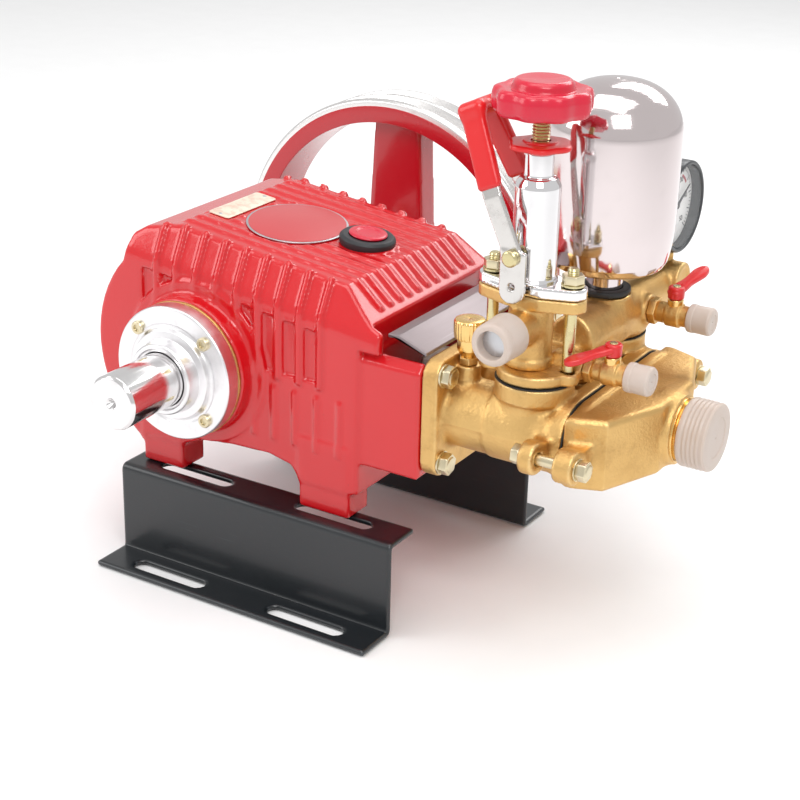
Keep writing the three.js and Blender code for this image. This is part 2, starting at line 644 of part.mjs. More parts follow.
function regulatorBodySolid() {
  const bottom = deckZ + 6 + gap;
  const body = bar("z", tower.body, bottom, tower.plateZ + 2, tower.x, tower.y, medium);
  const plate = towerPlate(tower.plateZ, tower.housingZ - gap);
  const outlet = bar("y", 9.5, 15, tower.y, tower.x, tower.outletZ, medium);
  const thread = bar("y", 8.2, 3, 16, tower.x, tower.outletZ, medium);
  const bore = bar("z", 6, bottom - 1, tower.housingZ + 1, tower.x, tower.y, coarse);
  const sideBore = bar("y", 5, 2, tower.y, tower.x, tower.outletZ, coarse);
  return cut(join(body, plate, outlet, thread), bore, sideBore, ...studHoles());
}
add("regulator_body", regulatorBodySolid(), look.brass);
const overflowCapProfile = [
  [0, 1],
  [7.2, 1],
  [7.2, -5],
  [9.5, -5],
  [10.8, -4],
  [11.3, 13.5],
  [8.5, 13.5],
  [8.5, 2.6],
  [0, 2.6],
];
add("overflow_cap", turned("y", overflowCapProfile, tower.x, tower.outletZ, medium), look.plastic);

["left", "right"].forEach((name, i) => {
  const x = tower.x + (i ? 1 : -1) * tower.studs;
  const post = bar("z", 3, deckZ + 6 + gap, 212, x, tower.y, coarse);
  const nut = hexBar("z", 10, tower.housingZ + 6.2 + gap, tower.housingZ + 12, x, tower.y);
  add(name + "_tower_stud", join(post, nut), look.zinc);
});

const housingTop = 266;
function springHousingSolid() {
  const outside = [
    [0, tower.housingZ + 1],
    [tower.body, tower.housingZ + 1],
    [tower.body, tower.tubeTop - 3],
    [tower.body - 2, tower.tubeTop],
    [7, tower.tubeTop + 1],
    [7, housingTop],
    [0, housingTop],
  ];
  const plate = towerPlate(tower.housingZ, tower.housingZ + 6);
  const room = bar("z", 9.2, tower.housingZ - 1, tower.tubeTop - 4, tower.x, tower.y, medium);
  const stemHole = bar("z", 4.8, 240, housingTop + 1, tower.x, tower.y, coarse);
  const pinHole = bar("y", 3, 10, 60, leverPin.x, leverPin.z, coarse);
  const whole = join(turned("z", outside, tower.x, tower.y, fine), plate);
  return cut(whole, room, stemHole, pinHole, ...studHoles());
}
add("spring_housing", springHousingSolid(), look.chrome);

// Valve rod: the lever's pin passes through a slot in it, tall enough for its lift.
const rodSlot = { half: 3.2, below: 6.4 };
const valveRod = join(
  bar("z", 8.6, 205, 222.5, tower.x, tower.y, medium),
  bar("z", 5.2, 184, 206, tower.x, tower.y, coarse),
);
const [slotFrom, slotTo] = [leverPin.x - rodSlot.half, leverPin.x + rodSlot.half];
const pinSlot = box(slotFrom, slotTo, 0, 80, leverPin.z - rodSlot.below, leverPin.z + 3);
add("valve_rod", cut(valveRod, pinSlot), look.steel);

class Coil extends THREE.Curve {
  constructor(radius, from, to, turns) {
    super();
    Object.assign(this, { radius, from, to, turns });
  }
  getPoint(t, target = new THREE.Vector3()) {
    const a = t * this.turns * Math.PI * 2;
    const z = this.from + (this.to - this.from) * t;
    return target.set(tower.x + this.radius * Math.cos(a), tower.y + this.radius * Math.sin(a), z);
  }
}
const wire = new THREE.Shape();
wire.absarc(0, 0, 1.1, 0, Math.PI * 2);
const springPath = new Coil(7, 224.2, 240.2, 4);
add("regulator_spring", solid(new THREE.ExtrudeGeometry(wire, {
  steps: 42, extrudePath: springPath, curveSegments: 3, bevelEnabled: false,
})), look.steel);
add("spring_seat", bar("z", 8.6, 242, 244.5, tower.x, tower.y, medium), look.steel);

add("adjusting_stem", bar("z", 4.4, 244.8, wheel.bottom + 8, tower.x, tower.y, coarse), look.zinc);
function lobedDisc(radius, depth, lobes, from, to, steps = 54) {
  const points = Array.from({ length: steps }, (_, i) => {
    const a = (i / steps) * Math.PI * 2;
    const r = radius - depth * (0.5 - 0.5 * Math.cos(lobes * a));
    return [r * Math.cos(a), r * Math.sin(a)];
  });
  return plateZ(outline(points), from, to).translate([tower.x, tower.y, 0]);
}
const wheelRim = lobedDisc(wheel.radius, 2, 9, wheel.bottom, wheel.bottom + wheel.height);
const wheelCapProfile = [[0, 290], [15, 290], [14, wheel.top - 1], [12, wheel.top], [0, wheel.top]];
const wheelCap = turned("z", wheelCapProfile, tower.x, tower.y, medium);
const wheelBore = bar("z", 4.4 + gap, wheel.bottom - 1, wheel.bottom + 8 + gap, tower.x, tower.y, coarse);
add("handwheel", cut(join(wheelRim, wheelCap), wheelBore), look.redPaint);
const lockHub = bar("z", 8.5, 266.6, 271.5, tower.x, tower.y, coarse);
add("lock_disc", cut(
  join(lobedDisc(16, 1.6, 6, 267.5, 270.5, 36), lockHub),
  bar("z", 4.8, 260, 275, tower.x, tower.y, coarse),
), look.redDip);

// ---- relief lever: a flat bar bent into a U around the tower, red-dipped at its closed end ----
const lever = { near: 20.5, far: 52.5, thick: 2.6, width: 14, tilt: 25, top: 74, foot: -24, gripFrom: 34 };
const lean = { from: 30, slope: 0.2 }; // the two prongs lean together above this place
const leverAxis = new THREE.Vector3(leverPin.x, 0, leverPin.z);
// Side outline of the bar between two distances from its pin, measured along it.
function strip(from, to, width, y0, y1, roundFoot = false) {
  const s = new THREE.Shape();
  const h = width / 2;
  s.moveTo(h, from);
  s.lineTo(h, to);
  s.lineTo(-h, to);
  s.lineTo(-h, from);
  if (roundFoot) s.absarc(0, from, h, Math.PI, Math.PI * 2);
  const g = new THREE.ExtrudeGeometry(s, { depth: y1 - y0, bevelEnabled: false, curveSegments: 6 });
  g.rotateX(Math.PI / 2).translate(0, y1, 0);
  return g;
}
function leverPiece(tilt, ...args) {
  const g = strip(...args).rotateY(-THREE.MathUtils.degToRad(tilt));
  return solid(g.translate(leverAxis.x, 0, leverAxis.z));
}
// The same for the upper part of a prong; side is 1 for the near prong and -1 for the far one.
function leaningPiece(side, ...args) {
  const g = strip(...args);
  const at = g.attributes.position;
  for (let i = 0; i < at.count; i++) at.setY(i, at.getY(i) + side * lean.slope * (at.getZ(i) - lean.from));
  g.rotateY(-THREE.MathUtils.degToRad(lever.tilt));
  return solid(g.translate(leverAxis.x, 0, leverAxis.z));
}
function leverSolid() {
  const prongs = [lever.near, lever.far].map((y, i) =>
    join(
      leverPiece(lever.tilt, -4, lean.from + 1, 10, y - lever.thick / 2, y + lever.thick / 2),
      leaningPiece(1 - 2 * i, lean.from, lever.top, 10, y - lever.thick / 2, y + lever.thick / 2),
      leverPiece(0, lever.foot + 7, 3, lever.width, y - lever.thick / 2, y + lever.thick / 2, true),
    ),
  );
  const [bowNear, bowFar] = [lever.near + 7.5, lever.far - 7.5];
  const bridge = leverPiece(lever.tilt, lever.top - lever.thick, lever.top, 10, bowNear, bowFar);
  const holes = bar("y", 2.8, 0, 80, leverPin.x, leverPin.z, coarse);
  return cut(join(...prongs, bridge), holes);
}
const leverBar = leverSolid();
add("relief_lever", leverBar, look.steel);
function gripSolid() {
  const skin = 1.1;
  const [half, wide] = [lever.thick / 2 + gap + skin, 10 + 2 * (gap + skin)];
  const sleeves = [lever.near, lever.far].map((y, i) =>
    leaningPiece(1 - 2 * i, lever.gripFrom, lever.top + skin, wide, y - half, y + half));
  const [bowFrom, bowTo] = [lever.top - lever.thick - skin, lever.top + gap + skin];
  const bow = leverPiece(lever.tilt, bowFrom, bowTo, wide, lever.near + 5.9, lever.far - 5.9);
  const inner = (y, side) => {
    const h = lever.thick / 2 + gap;
    return leaningPiece(side, lever.gripFrom - 1, lever.top + gap, 10 + 2 * gap, y - h, y + h);
  };
  const innerBow = leverPiece(lever.tilt, lever.top - lever.thick - gap, lever.top + gap, 10 + 2 * gap,
    lever.near + 7.5 - gap, lever.far - 7.5 + gap);
  return cut(join(...sleeves, bow), inner(lever.near, 1), inner(lever.far, -1), innerBow);
}
add("lever_grip", gripSolid(), look.redDip);
add("lever_pin", join(
  bar("y", 2.5, leverPin.near, leverPin.far, leverPin.x, leverPin.z, coarse),
  bar("y", 4.2, leverPin.near - 2.5, lever.near - lever.thick / 2 - gap, leverPin.x, leverPin.z, coarse),
  bar("y", 4.2, lever.far + lever.thick / 2 + gap, leverPin.far, leverPin.x, leverPin.z, coarse),
), look.zinc);

// ---- air chamber: a domed shell on a threaded neck ----
function airChamberSolid() {
  const { radius: r, bottom, shoulder, top, wall } = chamber;
  const dome = [0.35, 0.7, 1.0, 1.25, 1.4].map((a) => [
    r * Math.cos(a) ** 0.8,
    shoulder + (top - shoulder) * Math.sin(a),
  ]);
  const inside = dome.map(([x, z]) => [x * 0.94, z - wall]).reverse();
  const profile = [
    [5, 178.6],
    [9.5, 178.6],
    [9.5, bottom],
    [r - 6, bottom],
    [r - 2.5, bottom + 4],
    [r, bottom + 26],
    [r, shoulder],
    ...dome,
    [0, top],
    [0, top - wall],
    ...inside,
    [r - wall, shoulder - wall],
    [r - wall, bottom + 26],
    [r - 2.5 - wall, bottom + 5],
    [r - 7, bottom + wall],
    [5, bottom + wall],
    [5, 178.6],
  ];
  return turned("z", profile, chamber.x, chamber.y, fine);
}
add("air_chamber", airChamberSolid(), look.chrome);

// ---- pressure gauge, facing the suction side ----
const gaugeBack = gauge.x - gauge.depth;
add("gauge_case", cut(
  join(
    bar("x", gauge.radius, gaugeBack, gauge.x, gauge.y, gauge.z, fine),
    hexBar("z", 10, 184.8, 188, gauge.x - 11, gauge.y),
    bar("z", 4.2, 186, 190, gauge.x - 11, gauge.y, coarse),
  ),
  bar("x", gauge.radius - 2.4, gauge.x - 7, gauge.x + 1, gauge.y, gauge.z, fine),
), look.black);
const lens = bar("x", gauge.radius - 2.8, gauge.x - 1.6, gauge.x - 0.4, gauge.y, gauge.z, fine);
add("gauge_lens", lens, look.glass);
const needleHub = bar("x", 2, gauge.x - 5.6, gauge.x - 4, gauge.y, gauge.z, coarse);
const needleAngle = -60;
const needle = new THREE.BoxGeometry(0.6, 22, 1.2);
needle.translate(gauge.x - 4.8, 6.5, 0).rotateX(THREE.MathUtils.degToRad(needleAngle + 90));
add("gauge_needle", join(needleHub, solid(needle.translate(0, gauge.y, gauge.z))), look.black);

// ---- two discharge cocks ----
for (const c of cocks) {
  const start = c.x + gap;
  const end = start + cock.reach + 10;
  const body = join(
    hexBar("x", 13, start, start + 4, c.y, c.z),
    bar("x", cock.radius, start + 3, start + cock.reach, c.y, c.z, coarse),
    bar("x", 6.6, start + cock.reach - 1, end, c.y, c.z, coarse),
    bar("z", 4.2, c.z, c.z + 9, start + 13, c.y, coarse),
  );
  const way = bar("x", 3, start + 6, end + 1, c.y, c.z, coarse);
  add(c.name + "_cock_body", cut(body, way), look.brass);
  const capFrom = end - cock.capLength + 4;
  add(c.name + "_cock_cap", turned("x", [
    [6.6 + gap, capFrom],
    [cock.capRadius, capFrom],
    [cock.capRadius, end + 2],
    [cock.capRadius - 1, end + 3],
    [0, end + 3],
    [0, end + 0.6],
    [6.6 + gap, end + 0.6],
    [6.6 + gap, capFrom],
  ], c.y, c.z, medium), look.plastic);
  const upperEdge = [[27, 0], [25, 3], [14, 4.6], [6, 4], [-4, 3.5]];
  const lowerEdge = [[-4, -3.5], [6, -4], [14, -4.6], [25, -3]];
  const arm = outline([...lowerEdge, ...upperEdge]);
  const blade = new THREE.ExtrudeGeometry(arm, { depth: 3.2, bevelEnabled: false });
  blade.rotateY(c.tilt).rotateZ(THREE.MathUtils.degToRad(c.angle)).translate(start + 13, c.y, c.z + 11.5);
  const hub = bar("z", 4.4, c.z + 9 + gap, c.z + 16, start + 13, c.y, coarse);
  add(c.name + "_cock_lever", join(solid(blade), hub), look.redDip);
}

// ---- grease cup on the near barrel ----
add("grease_cup", join(
  hexBar("z", 9, 150 + gap, 154, cup.x, cup.y),
  turned("z", [[0, 153], [4, 153], [6.2, 158], [6.2, 167.5], [0, 167.5]], cup.x, cup.y, coarse),
), look.brass);
add("grease_cup_cap", turned("z", [
  [6.2 + gap, 164],
  [7.6, 164],
  [8.3, 168],
  [8.3, 173],
  [7.3, 174.5],
  [0, 174.5],
  [0, 167.5 + gap],
  [6.2 + gap, 167.5 + gap],
  [6.2 + gap, 164],
], cup.x, cup.y, medium), look.brass);

// ---- the frame's origin: middle of the whole object's box, on the floor ----
const reach = {
  x: [shaft.x - pulley.radius, manifold.portEnd + 4.5],
  y: [shaft.nearEnd, shaftFarEnd],
};
pump.position.set(-(reach.x[0] + reach.x[1]) / 2, -(reach.y[0] + reach.y[1]) / 2, 0);

export default pump;
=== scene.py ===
import math

import bpy
import numpy as np
from mathutils import Matrix, Vector


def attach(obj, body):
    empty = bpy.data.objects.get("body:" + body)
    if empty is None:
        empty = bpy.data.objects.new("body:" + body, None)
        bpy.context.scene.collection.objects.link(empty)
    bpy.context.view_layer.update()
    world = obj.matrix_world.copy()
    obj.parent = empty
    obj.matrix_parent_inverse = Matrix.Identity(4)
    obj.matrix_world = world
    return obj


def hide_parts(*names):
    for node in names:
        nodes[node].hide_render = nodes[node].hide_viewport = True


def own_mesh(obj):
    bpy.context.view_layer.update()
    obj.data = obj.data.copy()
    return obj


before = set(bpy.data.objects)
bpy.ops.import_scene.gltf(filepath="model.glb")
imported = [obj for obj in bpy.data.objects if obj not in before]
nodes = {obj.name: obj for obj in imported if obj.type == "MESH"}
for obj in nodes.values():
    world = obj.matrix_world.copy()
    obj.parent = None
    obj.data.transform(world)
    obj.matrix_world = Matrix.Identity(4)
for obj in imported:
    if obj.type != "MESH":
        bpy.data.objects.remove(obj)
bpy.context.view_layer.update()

print("frame loaded,", len(nodes), "CAD nodes")

# The pump is drawn in millimetres, from the near rail's rear lower corner.
origin = np.array([131.0, 94.5, 0.0])

# Values a user may change, one dictionary for each group of pieces.
shaft = {"x": 47.0, "z": 123.5, "radius": 15.0, "near": -60.0, "far": 249.0, "throw": 11.0}
rows = [36.5, 78.5, 120.5]
case = {"near": 12.0, "far": 145.0, "ribPitch": 13.4, "ribWidth": 3.4, "ribHeight": 1.9, "topPitch": 9.3,
        "topSlope": 0.117}
wheel = {"radius": 107.5, "near": 204.0, "far": 238.0, "rimInside": 93.0}
tower = {"x": 236.0, "y": 36.5, "radius": 11.2, "studs": 21.5, "outletZ": 180.0}
chamber = {"x": 244.0, "y": 103.0, "radius": 34.0, "bottom": 194.0, "shoulder": 264.0, "top": 290.0}
gauge = {"x": 259.0, "y": 168.0, "z": 210.5, "radius": 25.2, "depth": 22.0, "stem": 11.0, "needle": 30.0}
cocks = {
    "near": {"x": 263.5, "y": 46.5, "z": 158.8, "turn": 232.0, "tilt": 0.2},
    "far": {"x": 261.5, "y": 126.0, "z": 165.0, "turn": 75.0, "tilt": -0.28},
}
view = {"azimuth": 31.2, "elevation": 22.95, "roll": 1.43, "lens": 79.6, "at": (0.4744, -0.7904, 0.4825)}
softboxes = {
    "key": {"at": (0.9, -1.1, 1.5), "target": (0, 0, 0.12), "size": (0.9, 0.9), "power": 14.0},
    "left": {"at": (-1.2, -0.9, 0.9), "target": (0, 0, 0.12), "size": (0.8, 1.0), "power": 7.0},
    "rear": {"at": (0.1, 1.3, 1.2), "target": (0, 0, 0.15), "size": (1.2, 0.6), "power": 9.0},
    "overhead": {"at": (0.0, -0.1, 1.7), "target": (0, 0, 0.1), "size": (1.3, 1.0), "power": 9.0},
}
studio = {"world": 0.72, "floorReach": 6.0, "floorDrop": 0.0005}


def topAt(x):
    return 198.5 - case["topSlope"] * x  # the crankcase top falls towards the head


def makeCamera():
    a, e, roll = (math.radians(view[k]) for k in ("azimuth", "elevation", "roll"))
    back = Vector((math.sin(a) * math.cos(e), -math.cos(a) * math.cos(e), math.sin(e)))
    data = bpy.data.cameras.new("camera")
    data.lens = view["lens"]
    data.sensor_width = 36
    data.clip_start, data.clip_end = 0.05, 20
    cam = bpy.data.objects.new("camera", data)
    bpy.context.scene.collection.objects.link(cam)
    level = (-back).to_track_quat("-Z", "Y").to_matrix()
    cam.rotation_mode = "QUATERNION"
    cam.rotation_quaternion = (level @ Matrix.Rotation(roll, 3, "Z")).to_quaternion()
    cam.location = view["at"]
    bpy.context.scene.camera = cam


makeCamera()
print("camera made")


class Wire:
    # One output socket of a material's tree; the usual operators add Math nodes.
    def __init__(self, paint, socket):
        self.paint, self.socket = paint, socket

    def _math(self, operation, *values):
        return self.paint.node("ShaderNodeMath", {"operation": operation}, dict(enumerate(values)))

    def __add__(self, other):
        return self._math("ADD", self, other)

    def __radd__(self, other):
        return self._math("ADD", other, self)

    def __sub__(self, other):
        return self._math("SUBTRACT", self, other)

    def __rsub__(self, other):
        return self._math("SUBTRACT", other, self)

    def __mul__(self, other):
        return self._math("MULTIPLY", self, other)

    def __lt__(self, other):
        return self._math("LESS_THAN", self, other)

    def __gt__(self, other):
        return self._math("GREATER_THAN", self, other)

    def clamped(self, low=0.0, high=1.0):
        return self._math("MAXIMUM", self._math("MINIMUM", self, high), low)

    def smooth(self, low, high):
        return self.paint.node("ShaderNodeMapRange", {"interpolation_type": "SMOOTHSTEP"},
                               {0: self, 1: low, 2: high, 3: 0.0, 4: 1.0})


class Paint:
    # A material and its tree, with short ways to add the nodes used below.
    def __init__(self, name):
        self.material = bpy.data.materials.new(name)
        self.material.use_nodes = True
        self.tree = self.material.node_tree
        self.shader = self.tree.nodes["Principled BSDF"]
        self.place = self.node("ShaderNodeTexCoord", {}, {}, "Object")

    def node(self, kind, settings, inputs, output=0):
        made = self.tree.nodes.new(kind)
        for key, value in settings.items():
            setattr(made, key, value)
        for key, value in inputs.items():
            socket = made.inputs[key]
            if isinstance(value, Wire):
                self.tree.links.new(value.socket, socket)
            else:
                socket.default_value = value
        return Wire(self, made.outputs[output])

    def noise(self, scale, detail=3.0, rough=0.55, where=None):
        return self.node("ShaderNodeTexNoise", {}, {"Vector": where or self.place, "Scale": scale,
                                                    "Detail": detail, "Roughness": rough}, "Fac")

    def stretched(self, x, y, z, turn=(0, 0, 0)):
        return self.node("ShaderNodeMapping", {}, {"Vector": self.place, "Scale": (x, y, z),
                                                   "Rotation": turn})

    def cells(self, scale):
        return self.node("ShaderNodeTexVoronoi", {"feature": "F1"}, {"Vector": self.place, "Scale": scale},
                         "Distance")

    def mix(self, share, one, other):
        made = self.tree.nodes.new("ShaderNodeMix")
        made.data_type = "RGBA"
        for key, value in ((0, share), (6, one), (7, other)):
            if isinstance(value, Wire):
                self.tree.links.new(value.socket, made.inputs[key])
            else:
                made.inputs[key].default_value = value if key == 0 else (*value, 1.0)
        return Wire(self, made.outputs[2])

    def pointiness(self, low, high):
        edge = self.node("ShaderNodeNewGeometry", {}, {}, "Pointiness")
        return edge.smooth(low, high)

    def bump(self, height, strength, distance):
        return self.node("ShaderNodeBump", {}, {"Height": height, "Strength": strength, "Distance": distance})

    def set(self, **sockets):
        names = {"color": "Base Color", "roughness": "Roughness", "metallic": "Metallic", "normal": "Normal",
                 "coat": "Coat Weight", "coatRoughness": "Coat Roughness", "alpha": "Alpha", "ior": "IOR",
                 "subsurface": "Subsurface Weight",
                 "subsurfaceScale": "Subsurface Scale", "specular": "Specular IOR Level"}
        for key, value in sockets.items():
            socket = self.shader.inputs[names[key]]
            if isinstance(value, Wire):
                self.tree.links.new(value.socket, socket)
            elif key == "color":
                socket.default_value = (*value, 1.0)
            else:
                socket.default_value = value
        return self.material


def redEnamel(name, color=(0.63, 0.004, 0.009), deep=(0.4, 0.002, 0.005), roughness=0.2):
    p = Paint(name)
    cloud = p.noise(9, 3)
    fine = p.noise(260, 3)
    peel = p.noise(420, 2)
    sand = p.noise(1400, 2)
    edge = p.pointiness(0.52, 0.6)
    tone = p.mix(cloud * 0.55, color, deep)
    tone = p.mix(edge * 0.12, tone, (0.8, 0.1, 0.09))
    speck = (p.cells(330) < 0.11) * (p.noise(14, 1) > 0.6)
    tone = p.mix(speck * 0.35, tone, (0.25, 0.01, 0.012))
    normal = p.bump(peel * 0.7 + fine * 0.8 + sand * 0.25, 0.16, 0.0006)
    gloss = (cloud * 0.12 + fine * 0.1 + roughness - 0.1).clamped(0.06, 0.9)
    return p.set(color=tone, roughness=gloss, normal=normal, coat=0.55, coatRoughness=0.08, specular=0.5)


def blackEnamel():
    p = Paint("black enamel")
    cloud = p.noise(12, 3)
    peel = p.noise(300, 3)
    scratchWhere = p.stretched(40, 900, 900, (0, 0.15, 0.1))
    scratch = p.noise(1.0, 2, 0.5, scratchWhere).smooth(0.7, 0.78)
    edge = p.pointiness(0.53, 0.62)
    dust = p.noise(500, 2).smooth(0.62, 0.8) * 0.25
    tone = p.mix(cloud, (0.005, 0.007, 0.009), (0.01, 0.013, 0.016))
    tone = p.mix((edge * 0.22 + scratch * 0.1 + dust * 0.1).clamped(), tone, (0.16, 0.18, 0.2))
    normal = p.bump(peel, 0.1, 0.0005)
    return p.set(color=tone, roughness=(cloud * 0.16 + scratch * 0.2 + 0.24).clamped(), normal=normal,
                 coat=0.35, coatRoughness=0.15)


def castBrass(name="cast brass", light=(0.78, 0.52, 0.21), dark=(0.3, 0.15, 0.045), rough=0.4):
    p = Paint(name)
    cloud = p.noise(14, 4)
    stain = p.noise(34, 5, 0.7)
    sand = p.noise(900, 3, 0.6)
    pits = p.cells(520)
    edge = p.pointiness(0.515, 0.58)
    cavity = 1 - p.pointiness(0.42, 0.5)
    tone = p.mix((cloud * 1.1 - 0.1).clamped(), light, tuple(c * s for c, s in zip(light, (0.78, 0.7, 0.6))))
    tone = p.mix(stain.smooth(0.5, 0.78) * 0.4, tone, dark)
    tone = p.mix((cavity * 0.75).clamped(), tone, dark)
    tone = p.mix(edge * 0.5, tone, (0.98, 0.74, 0.38))
    height = sand * 0.7 + pits * 0.3 + p.noise(180, 2) * 0.8
    normal = p.bump(height, 0.476, 0.0007)
    gloss = (rough + stain * 0.2 + sand * 0.1 - 0.1 + cavity * 0.15 - edge * 0.1).clamped(0.12, 0.9)
    return p.set(color=tone, roughness=gloss, metallic=1.0, normal=normal)


def turnedMetal(name, color, worn, rough, axis, lines=0.12):
    # Machined metal: fine rings across the turning axis, faint stains and a bright edge.
    p = Paint(name)
    scale = {"x": (2600, 6, 6), "y": (6, 2600, 6), "z": (6, 6, 2600)}[axis]
    ring = p.noise(1.0, 2, 0.5, p.stretched(*scale))
    cloud = p.noise(30, 3)
    stain = p.noise(70, 4, 0.65).smooth(0.52, 0.8)
    edge = p.pointiness(0.52, 0.6)
    tone = p.mix(cloud * 0.4, color, worn)
    tone = p.mix(stain * 0.25, tone, tuple(c * 0.55 for c in worn))
    tone = p.mix(edge * 0.4, tone, tuple(min(1.0, c * 1.2 + 0.05) for c in color))
    normal = p.bump(ring, lines, 0.0003)
    gloss = (rough + ring * 0.08 + stain * 0.16 - 0.04).clamped(0.04, 0.9)
    return p.set(color=tone, roughness=gloss, metallic=1.0, normal=normal)


def chromePlate(name, color=(0.86, 0.85, 0.86), rough=0.05):
    p = Paint(name)
    cloud = p.noise(22, 3)
    haze = p.noise(90, 4, 0.6).smooth(0.5, 0.85)
    wave = p.noise(45, 1)
    hair = p.noise(1.0, 2, 0.5, p.stretched(12, 12, 700)).smooth(0.66, 0.74)
    tone = p.mix(cloud * 0.5, color, tuple(c * 0.9 for c in color))
    tone = p.mix(haze * 0.12, tone, (0.5, 0.46, 0.44))
    normal = p.bump(wave, 0.03, 0.0006)
    return p.set(color=tone, roughness=(rough + haze * 0.08 + hair * 0.06).clamped(0.03, 0.6), metallic=1.0,
                 normal=normal)


def redPlastic(name="red moulded plastic", color=(0.62, 0.008, 0.035), rough=0.22):
    p = Paint(name)
    cloud = p.noise(25, 2)
    skin = p.noise(600, 2)
    edge = p.pointiness(0.52, 0.6)
    scuff = p.noise(120, 5, 0.7).smooth(0.6, 0.75)
    tone = p.mix(cloud * 0.35, color, tuple(c * 0.7 for c in color))
    tone = p.mix(edge * 0.25 + scuff * 0.08, tone, (0.9, 0.2, 0.2))
    normal = p.bump(skin, 0.07, 0.0004)
    return p.set(color=tone, roughness=(rough + scuff * 0.2 + skin * 0.06 - 0.03).clamped(), normal=normal,
                 subsurface=0.06, subsurfaceScale=0.003, coat=0.2, coatRoughness=0.15)


def capPlastic():
    p = Paint("milky cap plastic")
    cloud = p.noise(60, 3)
    flow = p.noise(1.0, 2, 0.5, p.stretched(30, 200, 200))
    edge = p.pointiness(0.52, 0.6)
    p.shader.inputs["Subsurface Radius"].default_value = (1.0, 0.9, 0.85)
    tone = p.mix(cloud, (0.58, 0.47, 0.39), (0.64, 0.55, 0.5))
    tone = p.mix(edge * 0.4, tone, (0.9, 0.85, 0.84))
    normal = p.bump(flow + p.noise(300, 2) * 0.6, 0.1, 0.0005)
    return p.set(color=tone, roughness=(cloud * 0.15 + 0.3).clamped(), normal=normal, subsurface=0.3,
                 subsurfaceScale=0.003, alpha=0.9)


def rubber(name="black rubber", color=(0.012, 0.013, 0.015), rough=0.5):
    p = Paint(name)
    cloud = p.noise(50, 3)
    skin = p.noise(1200, 3)
    edge = p.pointiness(0.52, 0.6)
    tone = p.mix(cloud, color, tuple(c * 1.9 for c in color))
    tone = p.mix(edge * 0.3, tone, (0.09, 0.095, 0.1))
    normal = p.bump(skin, 0.15, 0.0004)
    return p.set(color=tone, roughness=(rough + skin * 0.16 - 0.08).clamped(), normal=normal)


def greySheet():
    p = Paint("grey sheet cover")
    brush = p.noise(1.0, 3, 0.6, p.stretched(700, 14, 700))
    cloud = p.noise(20, 3)
    edge = p.pointiness(0.52, 0.6)
    tone = p.mix(cloud, (0.3, 0.255, 0.26), (0.22, 0.18, 0.185))
    tone = p.mix(edge * 0.4 + brush.smooth(0.6, 0.75) * 0.15, tone, (0.66, 0.62, 0.62))
    normal = p.bump(brush, 0.12, 0.0003)
    return p.set(color=tone, roughness=(brush * 0.2 + 0.3).clamped(), metallic=0.75, normal=normal)


def labelPlate():
    p = Paint("blank plate")
    brush = p.noise(1.0, 3, 0.6, p.stretched(900, 20, 900))
    smudge = p.noise(160, 5, 0.7).smooth(0.46, 0.62)
    tone = p.mix(smudge * 0.6, (0.86, 0.74, 0.6), (0.7, 0.42, 0.33))
    tone = p.mix(brush.smooth(0.55, 0.8) * 0.4, tone, (0.9, 0.85, 0.78))
    return p.set(color=tone, roughness=(brush * 0.2 + 0.3).clamped(), metallic=0.35,
                 normal=p.bump(brush, 0.1, 0.0002))


def badgeFace():
    p = Paint("plain badge face")
    cloud = p.noise(30, 3)
    pebble = p.cells(900)
    tone = p.mix(cloud * 0.5, (0.53, 0.045, 0.05), (0.45, 0.03, 0.035))
    return p.set(color=tone, roughness=(cloud * 0.1 + 0.32).clamped(), normal=p.bump(pebble, 0.08, 0.0003),
                 coat=0.3, coatRoughness=0.2)


def dialFace():
    p = Paint("dial card")
    fleck = p.noise(700, 2)
    cloud = p.noise(60, 2)
    tone = p.mix(fleck * 0.2, (0.97, 0.96, 0.95), (0.85, 0.84, 0.82))
    tone = p.mix(cloud * 0.1, tone, (0.8, 0.72, 0.62))
    return p.set(color=tone, roughness=(fleck * 0.1 + 0.45).clamped(), normal=p.bump(fleck, 0.05, 0.0002))


def lensGlass():
    p = Paint("gauge lens")
    haze = p.noise(50, 3)
    return p.set(color=(0.95, 0.97, 0.98), roughness=(haze * 0.04 + 0.02).clamped(), ior=1.45, alpha=0.07,
                 normal=p.bump(haze, 0.02, 0.0003))


def ceramicGlaze():
    p = Paint("plunger ceramic")
    cloud = p.noise(40, 3)
    tone = p.mix(cloud, (0.82, 0.78, 0.7), (0.76, 0.72, 0.64))
    return p.set(color=tone, roughness=(cloud * 0.08 + 0.12).clamped(),
                 normal=p.bump(p.noise(900, 2), 0.03, 0.0002))


